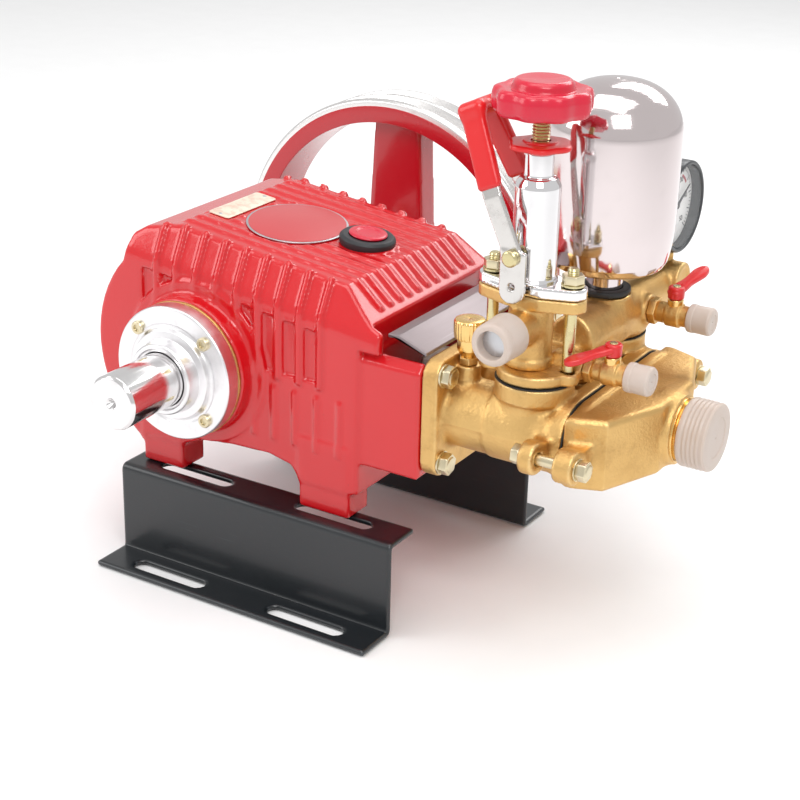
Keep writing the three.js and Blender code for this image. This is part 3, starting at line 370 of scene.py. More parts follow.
paints = {
    "red": redEnamel("red enamel on casting"),
    "redPulley": redEnamel("red enamel on pulley", (0.52, 0.006, 0.016), (0.36, 0.003, 0.009), 0.24),
    "black": blackEnamel(),
    "brass": castBrass(),
    "brassDark": castBrass("cast brass, stained", (0.66, 0.38, 0.14), (0.26, 0.12, 0.04), 0.38),
    "brassTurnedX": turnedMetal("turned brass along x", (0.88, 0.6, 0.24), (0.66, 0.4, 0.13), 0.22, "x"),
    "brassTurnedY": turnedMetal("turned brass along y", (0.88, 0.6, 0.24), (0.66, 0.4, 0.13), 0.22, "y"),
    "brassTurnedZ": turnedMetal("turned brass along z", (0.88, 0.6, 0.24), (0.66, 0.4, 0.13), 0.22, "z"),
    "steelX": turnedMetal("turned steel along x", (0.72, 0.7, 0.68), (0.5, 0.47, 0.44), 0.22, "x"),
    "steelY": turnedMetal("turned steel along y", (0.84, 0.83, 0.83), (0.7, 0.68, 0.68), 0.1, "y", 0.06),
    "steelZ": turnedMetal("turned steel along z", (0.8, 0.79, 0.78), (0.62, 0.6, 0.58), 0.16, "z"),
    "alloy": turnedMetal("turned alloy", (0.87, 0.86, 0.87), (0.76, 0.74, 0.75), 0.3, "y", 0.1),
    "zinc": turnedMetal("yellow zinc plate", (0.7, 0.62, 0.36), (0.5, 0.4, 0.18), 0.26, "z"),
    "boltMetal": turnedMetal("dull zinc bolt", (0.74, 0.66, 0.46), (0.5, 0.4, 0.24), 0.3, "x"),
    "paintedRim": turnedMetal("machined pulley rim", (0.85, 0.83, 0.82), (0.68, 0.66, 0.65), 0.26, "y"),
    "chrome": chromePlate("bright chrome"),
    # air chamber chrome: its pinkish grey colour is painted reflection of its surroundings
    "chamberChromePaintedReflection": chromePlate("air chamber chrome", (0.74, 0.66, 0.66), 0.1),
    "plastic": redPlastic(),
    "dip": redPlastic("red dipped plastic", (0.68, 0.012, 0.014), 0.3),
    "cap": capPlastic(),
    "rubber": rubber(),
    "bezel": rubber("black moulded plastic", (0.025, 0.027, 0.03), 0.3),
    "ink": rubber("printed black", (0.02, 0.02, 0.022), 0.5),
    "amber": redPlastic("amber band", (0.6, 0.4, 0.05), 0.4),
    "rose": redPlastic("red band", (0.55, 0.05, 0.09), 0.4),
    "packing": rubber("fibre packing", (0.08, 0.07, 0.05), 0.8),
    "grey": greySheet(),
    "label": labelPlate(),
    "badge": badgeFace(),
    "trim": turnedMetal("grey badge rim", (0.6, 0.6, 0.62), (0.45, 0.45, 0.46), 0.35, "z"),
    "dial": dialFace(),
    "lens": lensGlass(),
    "ceramic": ceramicGlaze(),
}
print("materials made,", len(paints))


def putMesh(name, points, faces, paint, smoothAngle=32.0):
    # Points in drawing millimetres, faces as an array of quads or triangles, or a list of uneven faces.
    mesh = bpy.data.meshes.new(name)
    placed = (np.asarray(points, float) - origin) / 1000
    if isinstance(faces, np.ndarray):
        count, sides = faces.shape
        mesh.vertices.add(len(placed))
        mesh.vertices.foreach_set("co", placed.astype(np.float32).ravel())
        mesh.loops.add(count * sides)
        mesh.loops.foreach_set("vertex_index", faces.astype(np.int32).ravel())
        mesh.polygons.add(count)
        mesh.polygons.foreach_set("loop_start", np.arange(0, count * sides, sides, dtype=np.int32))
        mesh.polygons.foreach_set("loop_total", np.full(count, sides, dtype=np.int32))
    else:
        mesh.from_pydata(placed.tolist(), [], [list(map(int, f)) for f in faces])
    mesh.update(calc_edges=True)
    mesh.validate()
    mesh.polygons.foreach_set("use_smooth", np.ones(len(mesh.polygons), bool))
    mesh.set_sharp_from_angle(angle=math.radians(smoothAngle))
    mesh.materials.append(paints[paint])
    obj = bpy.data.objects.new(name, mesh)
    bpy.context.scene.collection.objects.link(obj)
    return obj


def settle(obj, body, slot, *replaced):
    obj.name = obj.name.replace(" ", "_")
    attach(obj, body)
    if replaced:
        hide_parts(*replaced)
    return obj


def merge(name, pieces):
    # Joins several made pieces into one object; each keeps its own material.
    with bpy.context.temp_override(active_object=pieces[0], selected_editable_objects=pieces):
        bpy.ops.object.join()
    pieces[0].name = name
    pieces[0].data.name = name
    return pieces[0]


def fillet(points, radius, closed=True, steps=3):
    # Rounds each corner of an outline with a quadratic curve between two points set back by radius.
    pts = [np.array(p, float) for p in points]
    made = []
    for i, p in enumerate(pts):
        if not closed and i in (0, len(pts) - 1):
            made.append(p)
            continue
        before, after = pts[i - 1], pts[(i + 1) % len(pts)]
        a, b = before - p, after - p
        la, lb = np.linalg.norm(a), np.linalg.norm(b)
        if min(la, lb) < 1e-6:
            continue
        straight = abs(np.dot(a, b) / (la * lb) + 1) < 0.002
        back = min(radius, 0.42 * la, 0.42 * lb)
        if straight or back < 1e-3:
            made.append(p)
            continue
        start, end = p + a / la * back, p + b / lb * back
        for t in np.linspace(0, 1, steps + 1):
            made.append((1 - t) ** 2 * start + 2 * t * (1 - t) * p + t * t * end)
    return np.array(made)


def axisPoints(axis, r, s, angle, u, v):
    # Polar to drawing coordinates: r and angle across the axis, s along it, centred on u, v.
    c, d = r * np.cos(angle), r * np.sin(angle)
    along = s + 0 * c
    if axis == "x":
        return np.stack([along, u + c, v + d], -1)
    if axis == "y":
        return np.stack([u + d, along, v + c], -1)
    return np.stack([u + c, v + d, along], -1)


def turned(name, paint, axis, profile, u, v, sides=64, round=0.4, closed=True, wave=None):
    # A profile of [radius, place] pairs carried once round an axis; wave(angle, r, s) may change the radius.
    prof = fillet(profile, round, closed) if round else np.array(profile, float)
    angle = np.linspace(0, 2 * np.pi, sides, endpoint=False)
    r, s = prof[:, 0][:, None], prof[:, 1][:, None]
    radius = r + 0 * angle[None, :]
    if wave is not None:
        radius = wave(angle[None, :], radius, s)
    grid = axisPoints(axis, radius, s, angle[None, :], u, v)
    rings = len(prof)
    index = np.arange(rings * sides).reshape(rings, sides)
    nextRing = np.roll(index, -1, 0) if closed else index[1:]
    here = index if closed else index[:-1]
    a, b = here, np.roll(here, -1, 1)
    c, d = np.roll(nextRing, -1, 1), nextRing
    quads = np.stack([a, b, c, d], -1).reshape(-1, 4)
    faces = [list(q) for q in quads]
    points = grid.reshape(-1, 3)
    if not closed:  # both ends close on the axis with a flat fan
        faces.append(list(index[0][::-1]))
        faces.append(list(index[-1]))
    return outward(putMesh(name, points, faces, paint))


def outward(obj):
    # Turns a closed mesh so that its volume is positive.
    mesh = obj.data
    mesh.calc_loop_triangles()
    co = np.empty(len(mesh.vertices) * 3, np.float32)
    mesh.vertices.foreach_get("co", co)
    co = co.reshape(-1, 3).astype(float)
    tri = np.empty(len(mesh.loop_triangles) * 3, np.int32)
    mesh.loop_triangles.foreach_get("vertices", tri)
    a, b, c = (co[tri.reshape(-1, 3)[:, i]] for i in range(3))
    if np.einsum("ij,ij->i", a, np.cross(b, c)).sum() < 0:
        mesh.flip_normals()
    return obj


def prism(name, paint, axis, outline, low, high, edge=0.5, corner=0.0, bend=None):
    # An outline pulled along an axis; its end edges are rounded by insetting it over a quarter circle.
    pts = fillet(outline, corner) if corner else np.array(outline, float)
    area = 0.5 * np.sum(pts[:, 0] * np.roll(pts[:, 1], -1) - np.roll(pts[:, 0], -1) * pts[:, 1])
    if area < 0:
        pts = pts[::-1]
    before, after = np.roll(pts, 1, 0), np.roll(pts, -1, 0)
    t0, t1 = pts - before, after - pts
    n0 = np.stack([t0[:, 1], -t0[:, 0]], 1) / np.linalg.norm(t0, axis=1)[:, None]
    n1 = np.stack([t1[:, 1], -t1[:, 0]], 1) / np.linalg.norm(t1, axis=1)[:, None]
    n = n0 + n1
    n /= np.maximum(np.einsum("ij,ij->i", n, n)[:, None] / 2, 0.6)  # mitre length, held back at sharp corners
    turns = np.linspace(0, math.pi / 2, 4) if edge > 0 else [0.0]
    levels = [(low + edge * (1 - math.sin(t)), edge * (1 - math.cos(t))) for t in turns[::-1]]
    levels += [(high - edge * (1 - math.sin(t)), edge * (1 - math.cos(t))) for t in turns]
    rings = [np.column_stack([pts - n * inset, np.full(len(pts), level)]) for level, inset in levels]
    stack = np.stack(rings)
    u, v, s = stack[..., 0], stack[..., 1], stack[..., 2]
    grid = {"x": np.stack([s, u, v], -1), "y": np.stack([u, s, v], -1), "z": np.stack([u, v, s], -1)}[axis]
    if bend is not None:
        grid = bend(grid)
    count = len(pts)
    index = np.arange(len(levels) * count).reshape(len(levels), count)
    a, b = index[:-1], np.roll(index[:-1], -1, 1)
    c, d = np.roll(index[1:], -1, 1), index[1:]
    faces = [list(q) for q in np.stack([a, b, c, d], -1).reshape(-1, 4)]
    faces.append(list(index[0][::-1]))
    faces.append(list(index[-1]))
    return outward(putMesh(name, grid.reshape(-1, 3), faces, paint))


def arc(u, v, radius, start, end, steps=10):
    a = np.radians(np.linspace(start, end, steps))
    return [(u + radius * math.cos(t), v + radius * math.sin(t)) for t in a]


def regular(u, v, acrossFlats, sides=6, turn=0.0):
    radius = acrossFlats / 2 / math.cos(math.pi / sides)
    return arc(u, v, radius, turn, turn + 360 * (sides - 1) / sides, sides)


def roundedBar(u0, u1, v0, v1, radius, steps=8):
    # A rectangle with round corners, as an outline.
    r = radius
    return (arc(u1 - r, v0 + r, r, -90, 0, steps) + arc(u1 - r, v1 - r, r, 0, 90, steps)
            + arc(u0 + r, v1 - r, r, 90, 180, steps) + arc(u0 + r, v0 + r, r, 180, 270, steps))


def sweep(name, paint, path, section):
    # A closed section carried along a path in 3D; each ring's side vector stays close to the last one.
    path = np.array(path, float)
    tangent = np.gradient(path, axis=0)
    tangent /= np.linalg.norm(tangent, axis=1)[:, None]
    side = np.cross(tangent[0], [0.0, 0.0, 1.0])
    if np.linalg.norm(side) < 1e-3:
        side = np.cross(tangent[0], [1.0, 0.0, 0.0])
    side /= np.linalg.norm(side)
    rings = []
    for point, along in zip(path, tangent):
        side = side - along * np.dot(side, along)
        side /= np.linalg.norm(side)
        up = np.cross(side, along)
        rings.append(point + np.array([side * p[0] + up * p[1] for p in section]))
    grid = np.stack(rings)
    count = len(section)
    index = np.arange(len(path) * count).reshape(len(path), count)
    a, b = index[:-1], np.roll(index[:-1], -1, 1)
    c, d = np.roll(index[1:], -1, 1), index[1:]
    faces = [list(q) for q in np.stack([a, b, c, d], -1).reshape(-1, 4)]
    faces.append(list(index[0][::-1]))
    faces.append(list(index[-1]))
    return outward(putMesh(name, grid.reshape(-1, 3), faces, paint, 40))


class Casting:
    # A grid of signed distances in millimetres: shapes are blended in or cut out; its zero level is the skin.
    def __init__(self, low, high, step):
        self.step = step
        self.axes = [np.arange(a - 2 * step, b + 2.5 * step, step) for a, b in zip(low, high)]
        self.x, self.y, self.z = np.meshgrid(*self.axes, indexing="ij", sparse=True)
        self.field = np.full([len(a) for a in self.axes], 50.0, np.float32)

    def box(self, x, y, z, round=1.0):
        pairs = ((self.x, x), (self.y, y), (self.z, z))
        q = [np.abs(c - (a + b) / 2) - (b - a) / 2 + round for c, (a, b) in pairs]
        outside = np.sqrt(sum(np.maximum(c, 0) ** 2 for c in q))
        return outside + np.minimum(np.maximum(np.maximum(q[0], q[1]), q[2]), 0) - round

    def _capped(self, across, along, round):
        a, b = across + round, along + round
        outside = np.sqrt(np.maximum(a, 0) ** 2 + np.maximum(b, 0) ** 2)
        return outside + np.minimum(np.maximum(a, b), 0) - round

    def rod(self, axis, u, v, radius, low, high, round=1.0, slope=0.0):
        # slope makes it a cone: the radius grows by slope for each millimetre from low
        cross = {"x": (self.y, self.z, self.x), "y": (self.x, self.z, self.y),
                 "z": (self.x, self.y, self.z)}[axis]
        along = np.abs(cross[2] - (low + high) / 2) - (high - low) / 2
        reach = radius + slope * (np.clip(cross[2], low, high) - low)
        return self._capped(np.sqrt((cross[0] - u) ** 2 + (cross[1] - v) ** 2) - reach, along, round)

    def plate(self, axis, outline, low, high, round=1.0):
        # Signed distance to a polygon: nearest edge, negative where a ray crosses an odd number of edges.
        u, v, s = {"x": (self.y, self.z, self.x), "y": (self.x, self.z, self.y),
                   "z": (self.x, self.y, self.z)}[axis]
        pts = np.array(outline, float)
        nearest = np.full(np.broadcast(u, v).shape, 1e9)
        inside = np.zeros(nearest.shape, bool)
        for (u0, v0), (u1, v1) in zip(pts, np.roll(pts, -1, 0)):
            eu, ev = u1 - u0, v1 - v0
            t = np.clip(((u - u0) * eu + (v - v0) * ev) / max(eu * eu + ev * ev, 1e-9), 0, 1)
            nearest = np.minimum(nearest, (u - u0 - t * eu) ** 2 + (v - v0 - t * ev) ** 2)
            rise = ev if abs(ev) > 1e-9 else 1e-9
            inside ^= ((v0 > v) != (v1 > v)) & (u < (u1 - u0) * (v - v0) / rise + u0)
        across = np.sqrt(nearest) * np.where(inside, -1, 1)
        along = np.abs(s - (low + high) / 2) - (high - low) / 2
        return self._capped(across, along, round)

    def plane(self, point, normal):
        n = np.array(normal, float)
        n /= np.linalg.norm(n)
        return (self.x - point[0]) * n[0] + (self.y - point[1]) * n[1] + (self.z - point[2]) * n[2]

    def add(self, shape, blend=1.5):
        # Smooth union: the smaller distance, less a quadratic fillet where the two are within blend.
        h = np.maximum(blend - np.abs(self.field - shape), 0) / blend
        self.field = (np.minimum(self.field, shape) - h * h * blend / 4).astype(np.float32)

    def cut(self, shape, blend=0.8):
        h = np.maximum(blend - np.abs(self.field + shape), 0) / blend
        self.field = (np.maximum(self.field, -shape) + h * h * blend / 4).astype(np.float32)

    def keep(self, shape, blend=0.8):
        self.cut(-shape, blend)

    def skin(self, name, paint):
        # One point for each cell the skin passes through, at the mean of its edge crossings, and one quad for
        # each grid edge the skin crosses.
        f, step = self.field, self.step
        inside = f < 0
        shape = np.array(f.shape) - 1
        corners = [(i, j, k) for i in (0, 1) for j in (0, 1) for k in (0, 1)]

        def window(a, c):
            return a[c[0]:c[0] + shape[0], c[1]:c[1] + shape[1], c[2]:c[2] + shape[2]]

        count = sum(window(inside, c).astype(np.int8) for c in corners)
        active = (count > 0) & (count < 8)
        cells = np.argwhere(active)
        index = np.full(active.shape, -1, np.int64)
        index[active] = np.arange(len(cells))
        total, hits = np.zeros((len(cells), 3)), np.zeros(len(cells))
        for a in corners:
            for d in range(3):
                if a[d]:
                    continue
                b = list(a)
                b[d] = 1
                fa = f[tuple((cells + a).T)]
                fb = f[tuple((cells + b).T)]
                cross = (fa < 0) != (fb < 0)
                t = np.where(cross, fa / np.where(cross, fa - fb, 1), 0)
                point = np.array(a, float)[None, :] + t[:, None] * (np.array(b) - np.array(a))[None, :]
                total += point * cross[:, None]
                hits += cross
        start = np.array([a[0] for a in self.axes])
        points = start + step * (cells + total / hits[:, None])
        quads = []
        for d in range(3):
            e, g = [i for i in range(3) if i != d]
            here = [slice(None)] * 3
            there = [slice(None)] * 3
            here[d], there[d] = slice(0, -1), slice(1, None)
            cross = inside[tuple(here)] != inside[tuple(there)]
            at = np.argwhere(cross)
            at = at[(at[:, e] > 0) & (at[:, g] > 0) & (at[:, e] < shape[e]) & (at[:, g] < shape[g])]
            full = inside[tuple(at.T)]
            ring = []
            for de, dg in ((-1, -1), (0, -1), (0, 0), (-1, 0)):
                cell = at.copy()
                cell[:, e] += de
                cell[:, g] += dg
                ring.append(index[tuple(cell.T)])
            quad = np.stack(ring, 1)
            forward = full if d != 1 else ~full
            quad[~forward] = quad[~forward][:, ::-1]
            quads.append(quad)
        faces = np.concatenate(quads)
        obj = putMesh(name, points, faces, paint, 180)
        return outward(obj)


print("surface tools ready")


def paintNode(name, paint):
    mesh = nodes[name].data
    mesh.materials.clear()
    mesh.materials.append(paints[paint])


def carve(obj, *cutters):
    # Cuts solids out of a made piece; the cutters are thrown away afterwards.
    for cutter in cutters:
        step = obj.modifiers.new("cut", "BOOLEAN")
        step.operation, step.solver, step.object = "DIFFERENCE", "MANIFOLD", cutter
    done = bpy.data.meshes.new_from_object(obj.evaluated_get(bpy.context.evaluated_depsgraph_get()))
    obj.modifiers.clear()
    old, obj.data = obj.data, done
    bpy.data.meshes.remove(old)
    for cutter in cutters:
        bpy.data.meshes.remove(cutter.data)
    return obj


def raised(field, height, *limits):
    # A raised band that follows a casting's skin: everywhere within height of it and inside the limits.
    band = field - height
    for limit in limits:
        band = np.maximum(band, limit)
    return band


rails = {"length": 180.0, "height": 54.5, "flange": 24.5, "thick": 3.0, "bend": 3.2, "slot": 9.0,
         "slotLength": 48.0, "slotStarts": (20.0, 112.0), "out": 13.5, "nearWeb": 0.0, "farWeb": 157.0}


def railSection(web, out):
    # Z section: foot outwards, ledge inwards, with a round bend at each corner.
    t, f, h, b = rails["thick"], rails["flange"], rails["height"], rails["bend"]
    inner = web - out * t
    line = [(web + out * f, 0), (inner + out * b, 0), (inner + out * 0.9, 0.9), (inner, b), (inner, h - t),
            (web - out * f, h - t), (web - out * f, h), (web - out * b, h), (web - out * 0.9, h - 0.9),
            (web, h - b), (web, t), (web + out * f, t)]
    return line


def makeRail(name, web, out):
    y0, y1 = web - rails["flange"], web + rails["flange"]
    rail = Casting((0, y0, 0), (rails["length"], y1, rails["height"]), 1.0)
    rail.add(rail.plate("x", railSection(web, out), 0, rails["length"], 0.5), 0.01)
    for start in rails["slotStarts"]:
        r = rails["slot"] / 2
        for side in (-1, 1):
            y = web + side * rails["out"]
            low, high = (-5, 8) if side == out else (45, 60)
            hole = roundedBar(start, start + rails["slotLength"], y - r, y + r, r - 0.01, 6)
            rail.cut(rail.plate("z", hole, low, high, 0.1), 0.5)
    return settle(rail.skin(name + " pressed sheet", "black"), "frame", "black_paint", name)


makeRail("near_rail", rails["nearWeb"], -1)
makeRail("far_rail", rails["farWeb"], 1)
print("rails made")


caseLook = {"firstRib": -6.5, "ribs": 11, "foot": 126.0, "lowerRibs": (84.6, 98.2, 111.7, 125.6, 139.6),
            "zone": 46.0, "boss": 38.5, "backRibs": range(148, 226, 11), "step": 1.25}
trim = {"badge": (71, 73), "plate": (34.5, 72), "filler": (113, 78.5)}


def makeCrankcase():
    cx, cz = shaft["x"], shaft["z"]
    near, far = case["near"], case["far"]
    mid = (near + far) / 2
    c = Casting((-23, 1, 54.8), (187, 156, 197), caseLook["step"])
    side = [(151, 70), (114, 70), (108, 77), (94, 80), (70, 79), (50, 76.5), (35, 71), (11, 71)]
    side += arc(cx, cz, 70, 234, 137, 18)
    side += [(1, 187), (8, 191.5), (29, topAt(29)), (137, topAt(137)), (150, 171), (157, 165.5), (163, 163),
             (163, 152), (151, 152)]
    c.add(c.plate("y", side, near, far, 2.2), 0.01)
    for sign in (-1, 1):
        edge = mid + sign * (mid - 22)
        c.keep(c.plane((0, edge, 198.5), (1.17, sign * 19.5, 10)), 2.5)
    bay = [(14, 88.5), (143, 88.5), (143, 147), (137, 153), (20, 153), (14, 147)]
    c.add(c.plate("x", bay, 140, 187, 1.2), 2.5)
    body = c.field.copy()
    sides = 54.5 - np.abs(c.y - mid)  # negative outside the flat of the top
    # ribs over the side walls and shoulders, with pockets between them
    for i in range(1, caseLook["ribs"]):
        x = caseLook["firstRib"] + case["ribPitch"] * i
        if i > 1:
            rib = raised(body, case["ribHeight"], np.abs(c.x - x) - case["ribWidth"] / 2,
                         caseLook["foot"] - c.z, sides)
            c.add(rib, 1.0)
        pocket = np.maximum(np.abs(c.x - x - case["ribPitch"] / 2) - 3.6, caseLook["foot"] + 3 - c.z)
        pocket = np.maximum(pocket, (mid - near) - 2.0 - np.abs(c.y - mid))
        pocket = np.maximum(pocket, c.z - topAt(c.x) + 27)
        if i < caseLook["ribs"] - 1:
            c.cut(pocket, 1.2)
    for x in caseLook["lowerRibs"]:
        c.add(raised(body, 1.2, np.abs(c.x - x) - 1.2, 90 - c.z, c.z - 121, 60 - np.abs(c.y - mid)), 0.8)
    # long fine ribs over the top, running down the front slope, with bare patches under the trim
    (badgeX, badgeY), (plateX, plateY), fillerX = trim["badge"], trim["plate"], trim["filler"][0]
    oval = (np.sqrt(((c.x - badgeX) / 27) ** 2 + ((c.y - badgeY) / 31) ** 2) - 1) * 27
    patch = np.maximum(np.abs(c.x - plateX) - 7, np.abs(c.y - plateY) - 23)
    bare = 2 - np.minimum(np.minimum(oval, patch), np.sqrt((c.x - fillerX) ** 2 + (c.y - mid) ** 2) - 16)
    for k in range(-5, 6):
        y = mid + k * case["topPitch"]
        c.add(raised(body, 1.15, np.abs(c.y - y) - 1.5, 26 - c.x, c.x - 152, 166 - c.z, bare), 1.8)
    # ribs across the round back
    for turn in caseLook["backRibs"]:
        a = math.radians(turn)
        across = np.abs((c.x - cx) * math.sin(a) - (c.z - cz) * math.cos(a))
        out = -((c.x - cx) * math.cos(a) + (c.z - cz) * math.sin(a)) + 40
        c.add(raised(body, 1.2, across - 1.5, out, c.x + 22.8, np.abs(c.y - mid) - 61), 0.9)
    # on each side wall a raised round zone, then the boss that carries the bearing cover
    for zone, boss in (((near - 1.3, near + 3), (1, near + 2)), ((far - 3, far + 1.3), (far - 2, 156))):
        c.add(c.rod("y", cx, cz, caseLook["zone"], *zone, 0.8), 1.0)
        c.add(c.rod("y", cx, cz, caseLook["boss"], *boss, 0.8), 3.0)
    for x0, x1 in ((7, 35), (114, 146)):
        for y0, y1 in ((near, near + 20), (far - 20, far)):
            c.add(c.box((x0, x1), (y0, y1), (54.8, 96), 1.5), 3.5)
    c.add(c.rod("z", fillerX, mid, 16.5, 178, topAt(fillerX) + 0.1, 0.6), 2)
    c.cut(c.box((157, 190), (20, 137), (95, 172), 1.5), 1.0)
    c.cut(c.box((156, 190), (18, 139), (152, 178), 0.8), 0.8)
    shell = c.skin("crankcase casting", "red")
    cavity = [(126, 89), (20, 87), (-8, 98), (-14, 120), (-4, 158), (10, 176), (30, topAt(30) - 12),
                (126, topAt(126) - 12)]
    tools = [prism("cutter", "red", "y", cavity, near + 9, far - 9, 0),
             prism("cutter", "red", "y", arc(cx, cz, 31.35, 0, 354, 60), -5, 162, 0),
             prism("cutter", "red", "x", [(22, 98), (135, 98), (135, 150), (22, 150)], 110, 128, 0),
             prism("cutter", "red", "z", arc(fillerX, mid, 10.3, 0, 350, 36), 160, 200, 0)]
    tools += [prism("cutter", "red", "x", arc(y, cz, 15.4, 0, 350, 40), 120, 160, 0) for y in rows]
    carve(shell, *tools)
    print("crankcase triangles", sum(len(f.vertices) - 2 for f in shell.data.polygons))
    return settle(shell, "frame", "red_paint", "crankcase")


makeCrankcase()
print("crankcase made")

bayCover = {"thick": 2.0, "rear": (164.0, 163.0), "fold": (170.6, 163.4), "front": (187.0, 157.2),
            "near": 19.5, "far": 137.5}
upper = [bayCover[edge] for edge in ("rear", "fold", "front")]
lower = [(x, z - bayCover["thick"]) for x, z in upper[::-1]]
sheet = prism("bay cover folded sheet", "grey", "y", upper + lower, bayCover["near"], bayCover["far"], 0.5,
              0.5)
settle(sheet, "frame", "grey_paint", "plunger_bay_cover")


coverLook = {"screwCircle": 31.0, "screwTurns": (45, 135, 225, 315)}


def makeBearingCover(name, side):
    def at(y):
        return y if side < 0 else case["near"] + case["far"] - y

    prof = [(15.4, -1), (37.5, -1), (37.5, -9.2), (36.8, -10), (28.5, -10), (27.6, -9.3), (26.4, -9.3),
            (25.5, -10.2), (24.8, -12.5), (20.6, -12.7), (19.8, -20), (19, -21), (17.2, -21), (16.6, -19.6),
            (15.4, -19.4)]
    flange = turned(name + " flange", "alloy", "y", [(r, at(y)) for r, y in prof], shaft["x"], shaft["z"],
                    112, 0.35)
    parts = [flange]
    for turn in coverLook["screwTurns"]:
        a = math.radians(turn)
        x = shaft["x"] + coverLook["screwCircle"] * math.cos(a)
        z = shaft["z"] + coverLook["screwCircle"] * math.sin(a)
        head = [(0.8, -9.5), (3.7, -9.5), (3.7, -11.6), (3.2, -12.2), (1.9, -12.2), (1.8, -11.0),
                (0.8, -11.0)]
        parts.append(turned("screw", "boltMetal", "y", [(r, at(y)) for r, y in head], x, z, 24, 0.2, False))
    # a thin black disc stands in for the oil hole: painted shade, where a real hole is dark only from shade
    hole = [(0.3, -10.06), (1.9, -10.06), (1.9, -10.2), (0.3, -10.2)]
    parts.append(turned("painted shade disc in oil hole", "ink", "y", [(r, at(y)) for r, y in hole], 42, 145, 16, 0, False))
    settle(merge(name + " turned flange", parts), "frame", "cast_alloy", name)
    ring = [(r, at(y)) for r, y in ((31, -0.95), (37.9, -0.95), (38.2, 0), (37.9, 0.95), (31, 0.95))]

    def uneven(a, r, s):
        return np.where(r > 35, r - 0.25 + 0.25 * np.sin(9 * a) * np.sin(4 * a + 1), r)

    gasket = turned(name + " gasket", "brassDark", "y", ring, shaft["x"], shaft["z"], 96, 0.2, wave=uneven)
    settle(gasket, "frame", "packing")


makeBearingCover("near_bearing_cover", -1)
makeBearingCover("far_bearing_cover", 1)

pins = [(shaft["x"] + shaft["throw"] * math.cos(math.radians(a)),
         shaft["z"] + shaft["throw"] * math.sin(math.radians(a))) for a in (90, 210, 330)]


def makeCrankshaft():
    cx, cz, r, near, far = (shaft[key] for key in ("x", "z", "radius", "near", "far"))
    nearEnd = [(0.6, near + 3.5), (2.2, near + 1.4), (3.2, near), (r - 1.4, near), (r, near + 1.6),
               (r, -22), (r, 25.5), (0.6, 25.5)]
    stub = turned("near stub", "steelY", "y", nearEnd, cx, cz, 96, 0.3, False)
    carve(stub, prism("key slot", "steelY", "y", [(cx - 4, cz - 20), (cx + 4, cz - 20), (cx + 4, cz - 11),
                                                  (cx - 4, cz - 11)], -52, -28, 0))
    farEnd = [(0.6, 131.5), (r, 131.5), (r, 237), (r - 1.5, 237.8), (9, 237.8)]
    for y in np.arange(239.0, 247.4, 1.5):
        farEnd += [(9.0, y - 0.2), (8.2, y + 0.55), (9.0, y + 1.3)]
    farEnd += [(8.0, far - 0.1), (0.6, far)]
    parts = [stub, turned("far stub", "steelY", "y", farEnd, cx, cz, 80, 0.12, False)]
    for low, high in ((19.5, 25.5), (47.5, 67.5), (89.5, 109.5), (131.5, 137.5)):
        parts.append(turned("web", "steelY", "y", [(0.6, low), (24, low), (24, high), (0.6, high)], cx, cz,
                            72, 0.8, False))
    for y, (x, z) in zip(rows, pins):
        parts.append(turned("pin", "steelY", "y", [(0.6, y - 12), (10, y - 12), (10, y + 12),
                                                   (0.6, y + 12)], x, z, 56, 0.3, False))
    settle(merge("crankshaft forging", parts), "crankshaft", "steel", "crankshaft")


makeCrankshaft()
print("shaft made")


def makePulley():
    cx, cz, r = shaft["x"], shaft["z"], wheel["radius"]
    near, far = wheel["near"], wheel["far"]
    prof = [(96.5, near + 0.4), (r - 1.6, near + 0.4), (r - 0.4, near + 1.6)]
    for mid in (near + 10.3, far - 8.7):
        prof += [(r, mid - 6.4), (r - 0.4, mid - 5.9), (r - 7, mid - 3.75), (r - 7, mid + 3.75),
                 (r - 0.4, mid + 5.9), (r, mid + 6.4)]
    prof += [(r - 0.4, far - 1.6), (r - 1.6, far - 0.4), (96.5, far - 0.4)]
    rim = turned("rim", "paintedRim", "y", prof, cx, cz, 192, 0.5)
    inside = wheel["rimInside"]
    web = [(inside, near), (103.2, near), (103.2, near + 1), (97, near + 1), (97, far - 1), (103.2, far - 1),
           (103.2, far), (inside, far), (inside - 0.1, (near + far) / 2)]
    parts = [rim, turned("rim inside", "redPulley", "y", web, cx, cz, 192, 0.6)]
    c = Casting((cx - 96, 179.5, cz - 96), (cx + 96, 238, cz + 96), 1.5)
    c.add(c.rod("y", cx, cz, 24, 180, 237.7, 1.5), 0.01)
    for turn in (90, 210, 330):
        a = math.radians(turn)
        along, across = np.array([math.cos(a), math.sin(a)]), np.array([-math.sin(a), math.cos(a)])
        line = [-21 * across, 95 * along - 16 * across, 95 * along + 16 * across, 21 * across]
        c.add(c.plate("y", [(cx + p[0], cz + p[1]) for p in line], 214, 232, 2.0), 6)
    c.cut(c.rod("y", cx, cz, 15.3, 170, 250, 0.1), 0.5)
    parts.append(c.skin("spokes", "redPulley"))
    settle(merge("pulley casting", parts), "crankshaft", "red_paint", "pulley")
    washer = turned("washer", "zinc", "y", [(9.3, 238.3), (20, 238.3), (20, 240.3), (9.3, 240.3)], cx, cz,
                    64, 0.3)
    nut = prism("nut", "zinc", "y", regular(cx, cz, 27), 240.3, 247.3, 0.9, 1.2)
    settle(merge("pulley nut and washer", [washer, nut]), "crankshaft", "zinc_plate", "pulley_nut")


makePulley()
print("pulley made")


def onTop(x0, y0):
    # Carries a flat-lying shape made round the origin onto the sloping top.
    tilt = math.atan(case["topSlope"])

    def place(grid):
        x, y, z = grid[..., 0], grid[..., 1], grid[..., 2]
        return np.stack([x0 + x * math.cos(tilt) + z * math.sin(tilt), y0 + y,
                         topAt(x0) + 0.3 - x * math.sin(tilt) + z * math.cos(tilt)], -1)

    return place


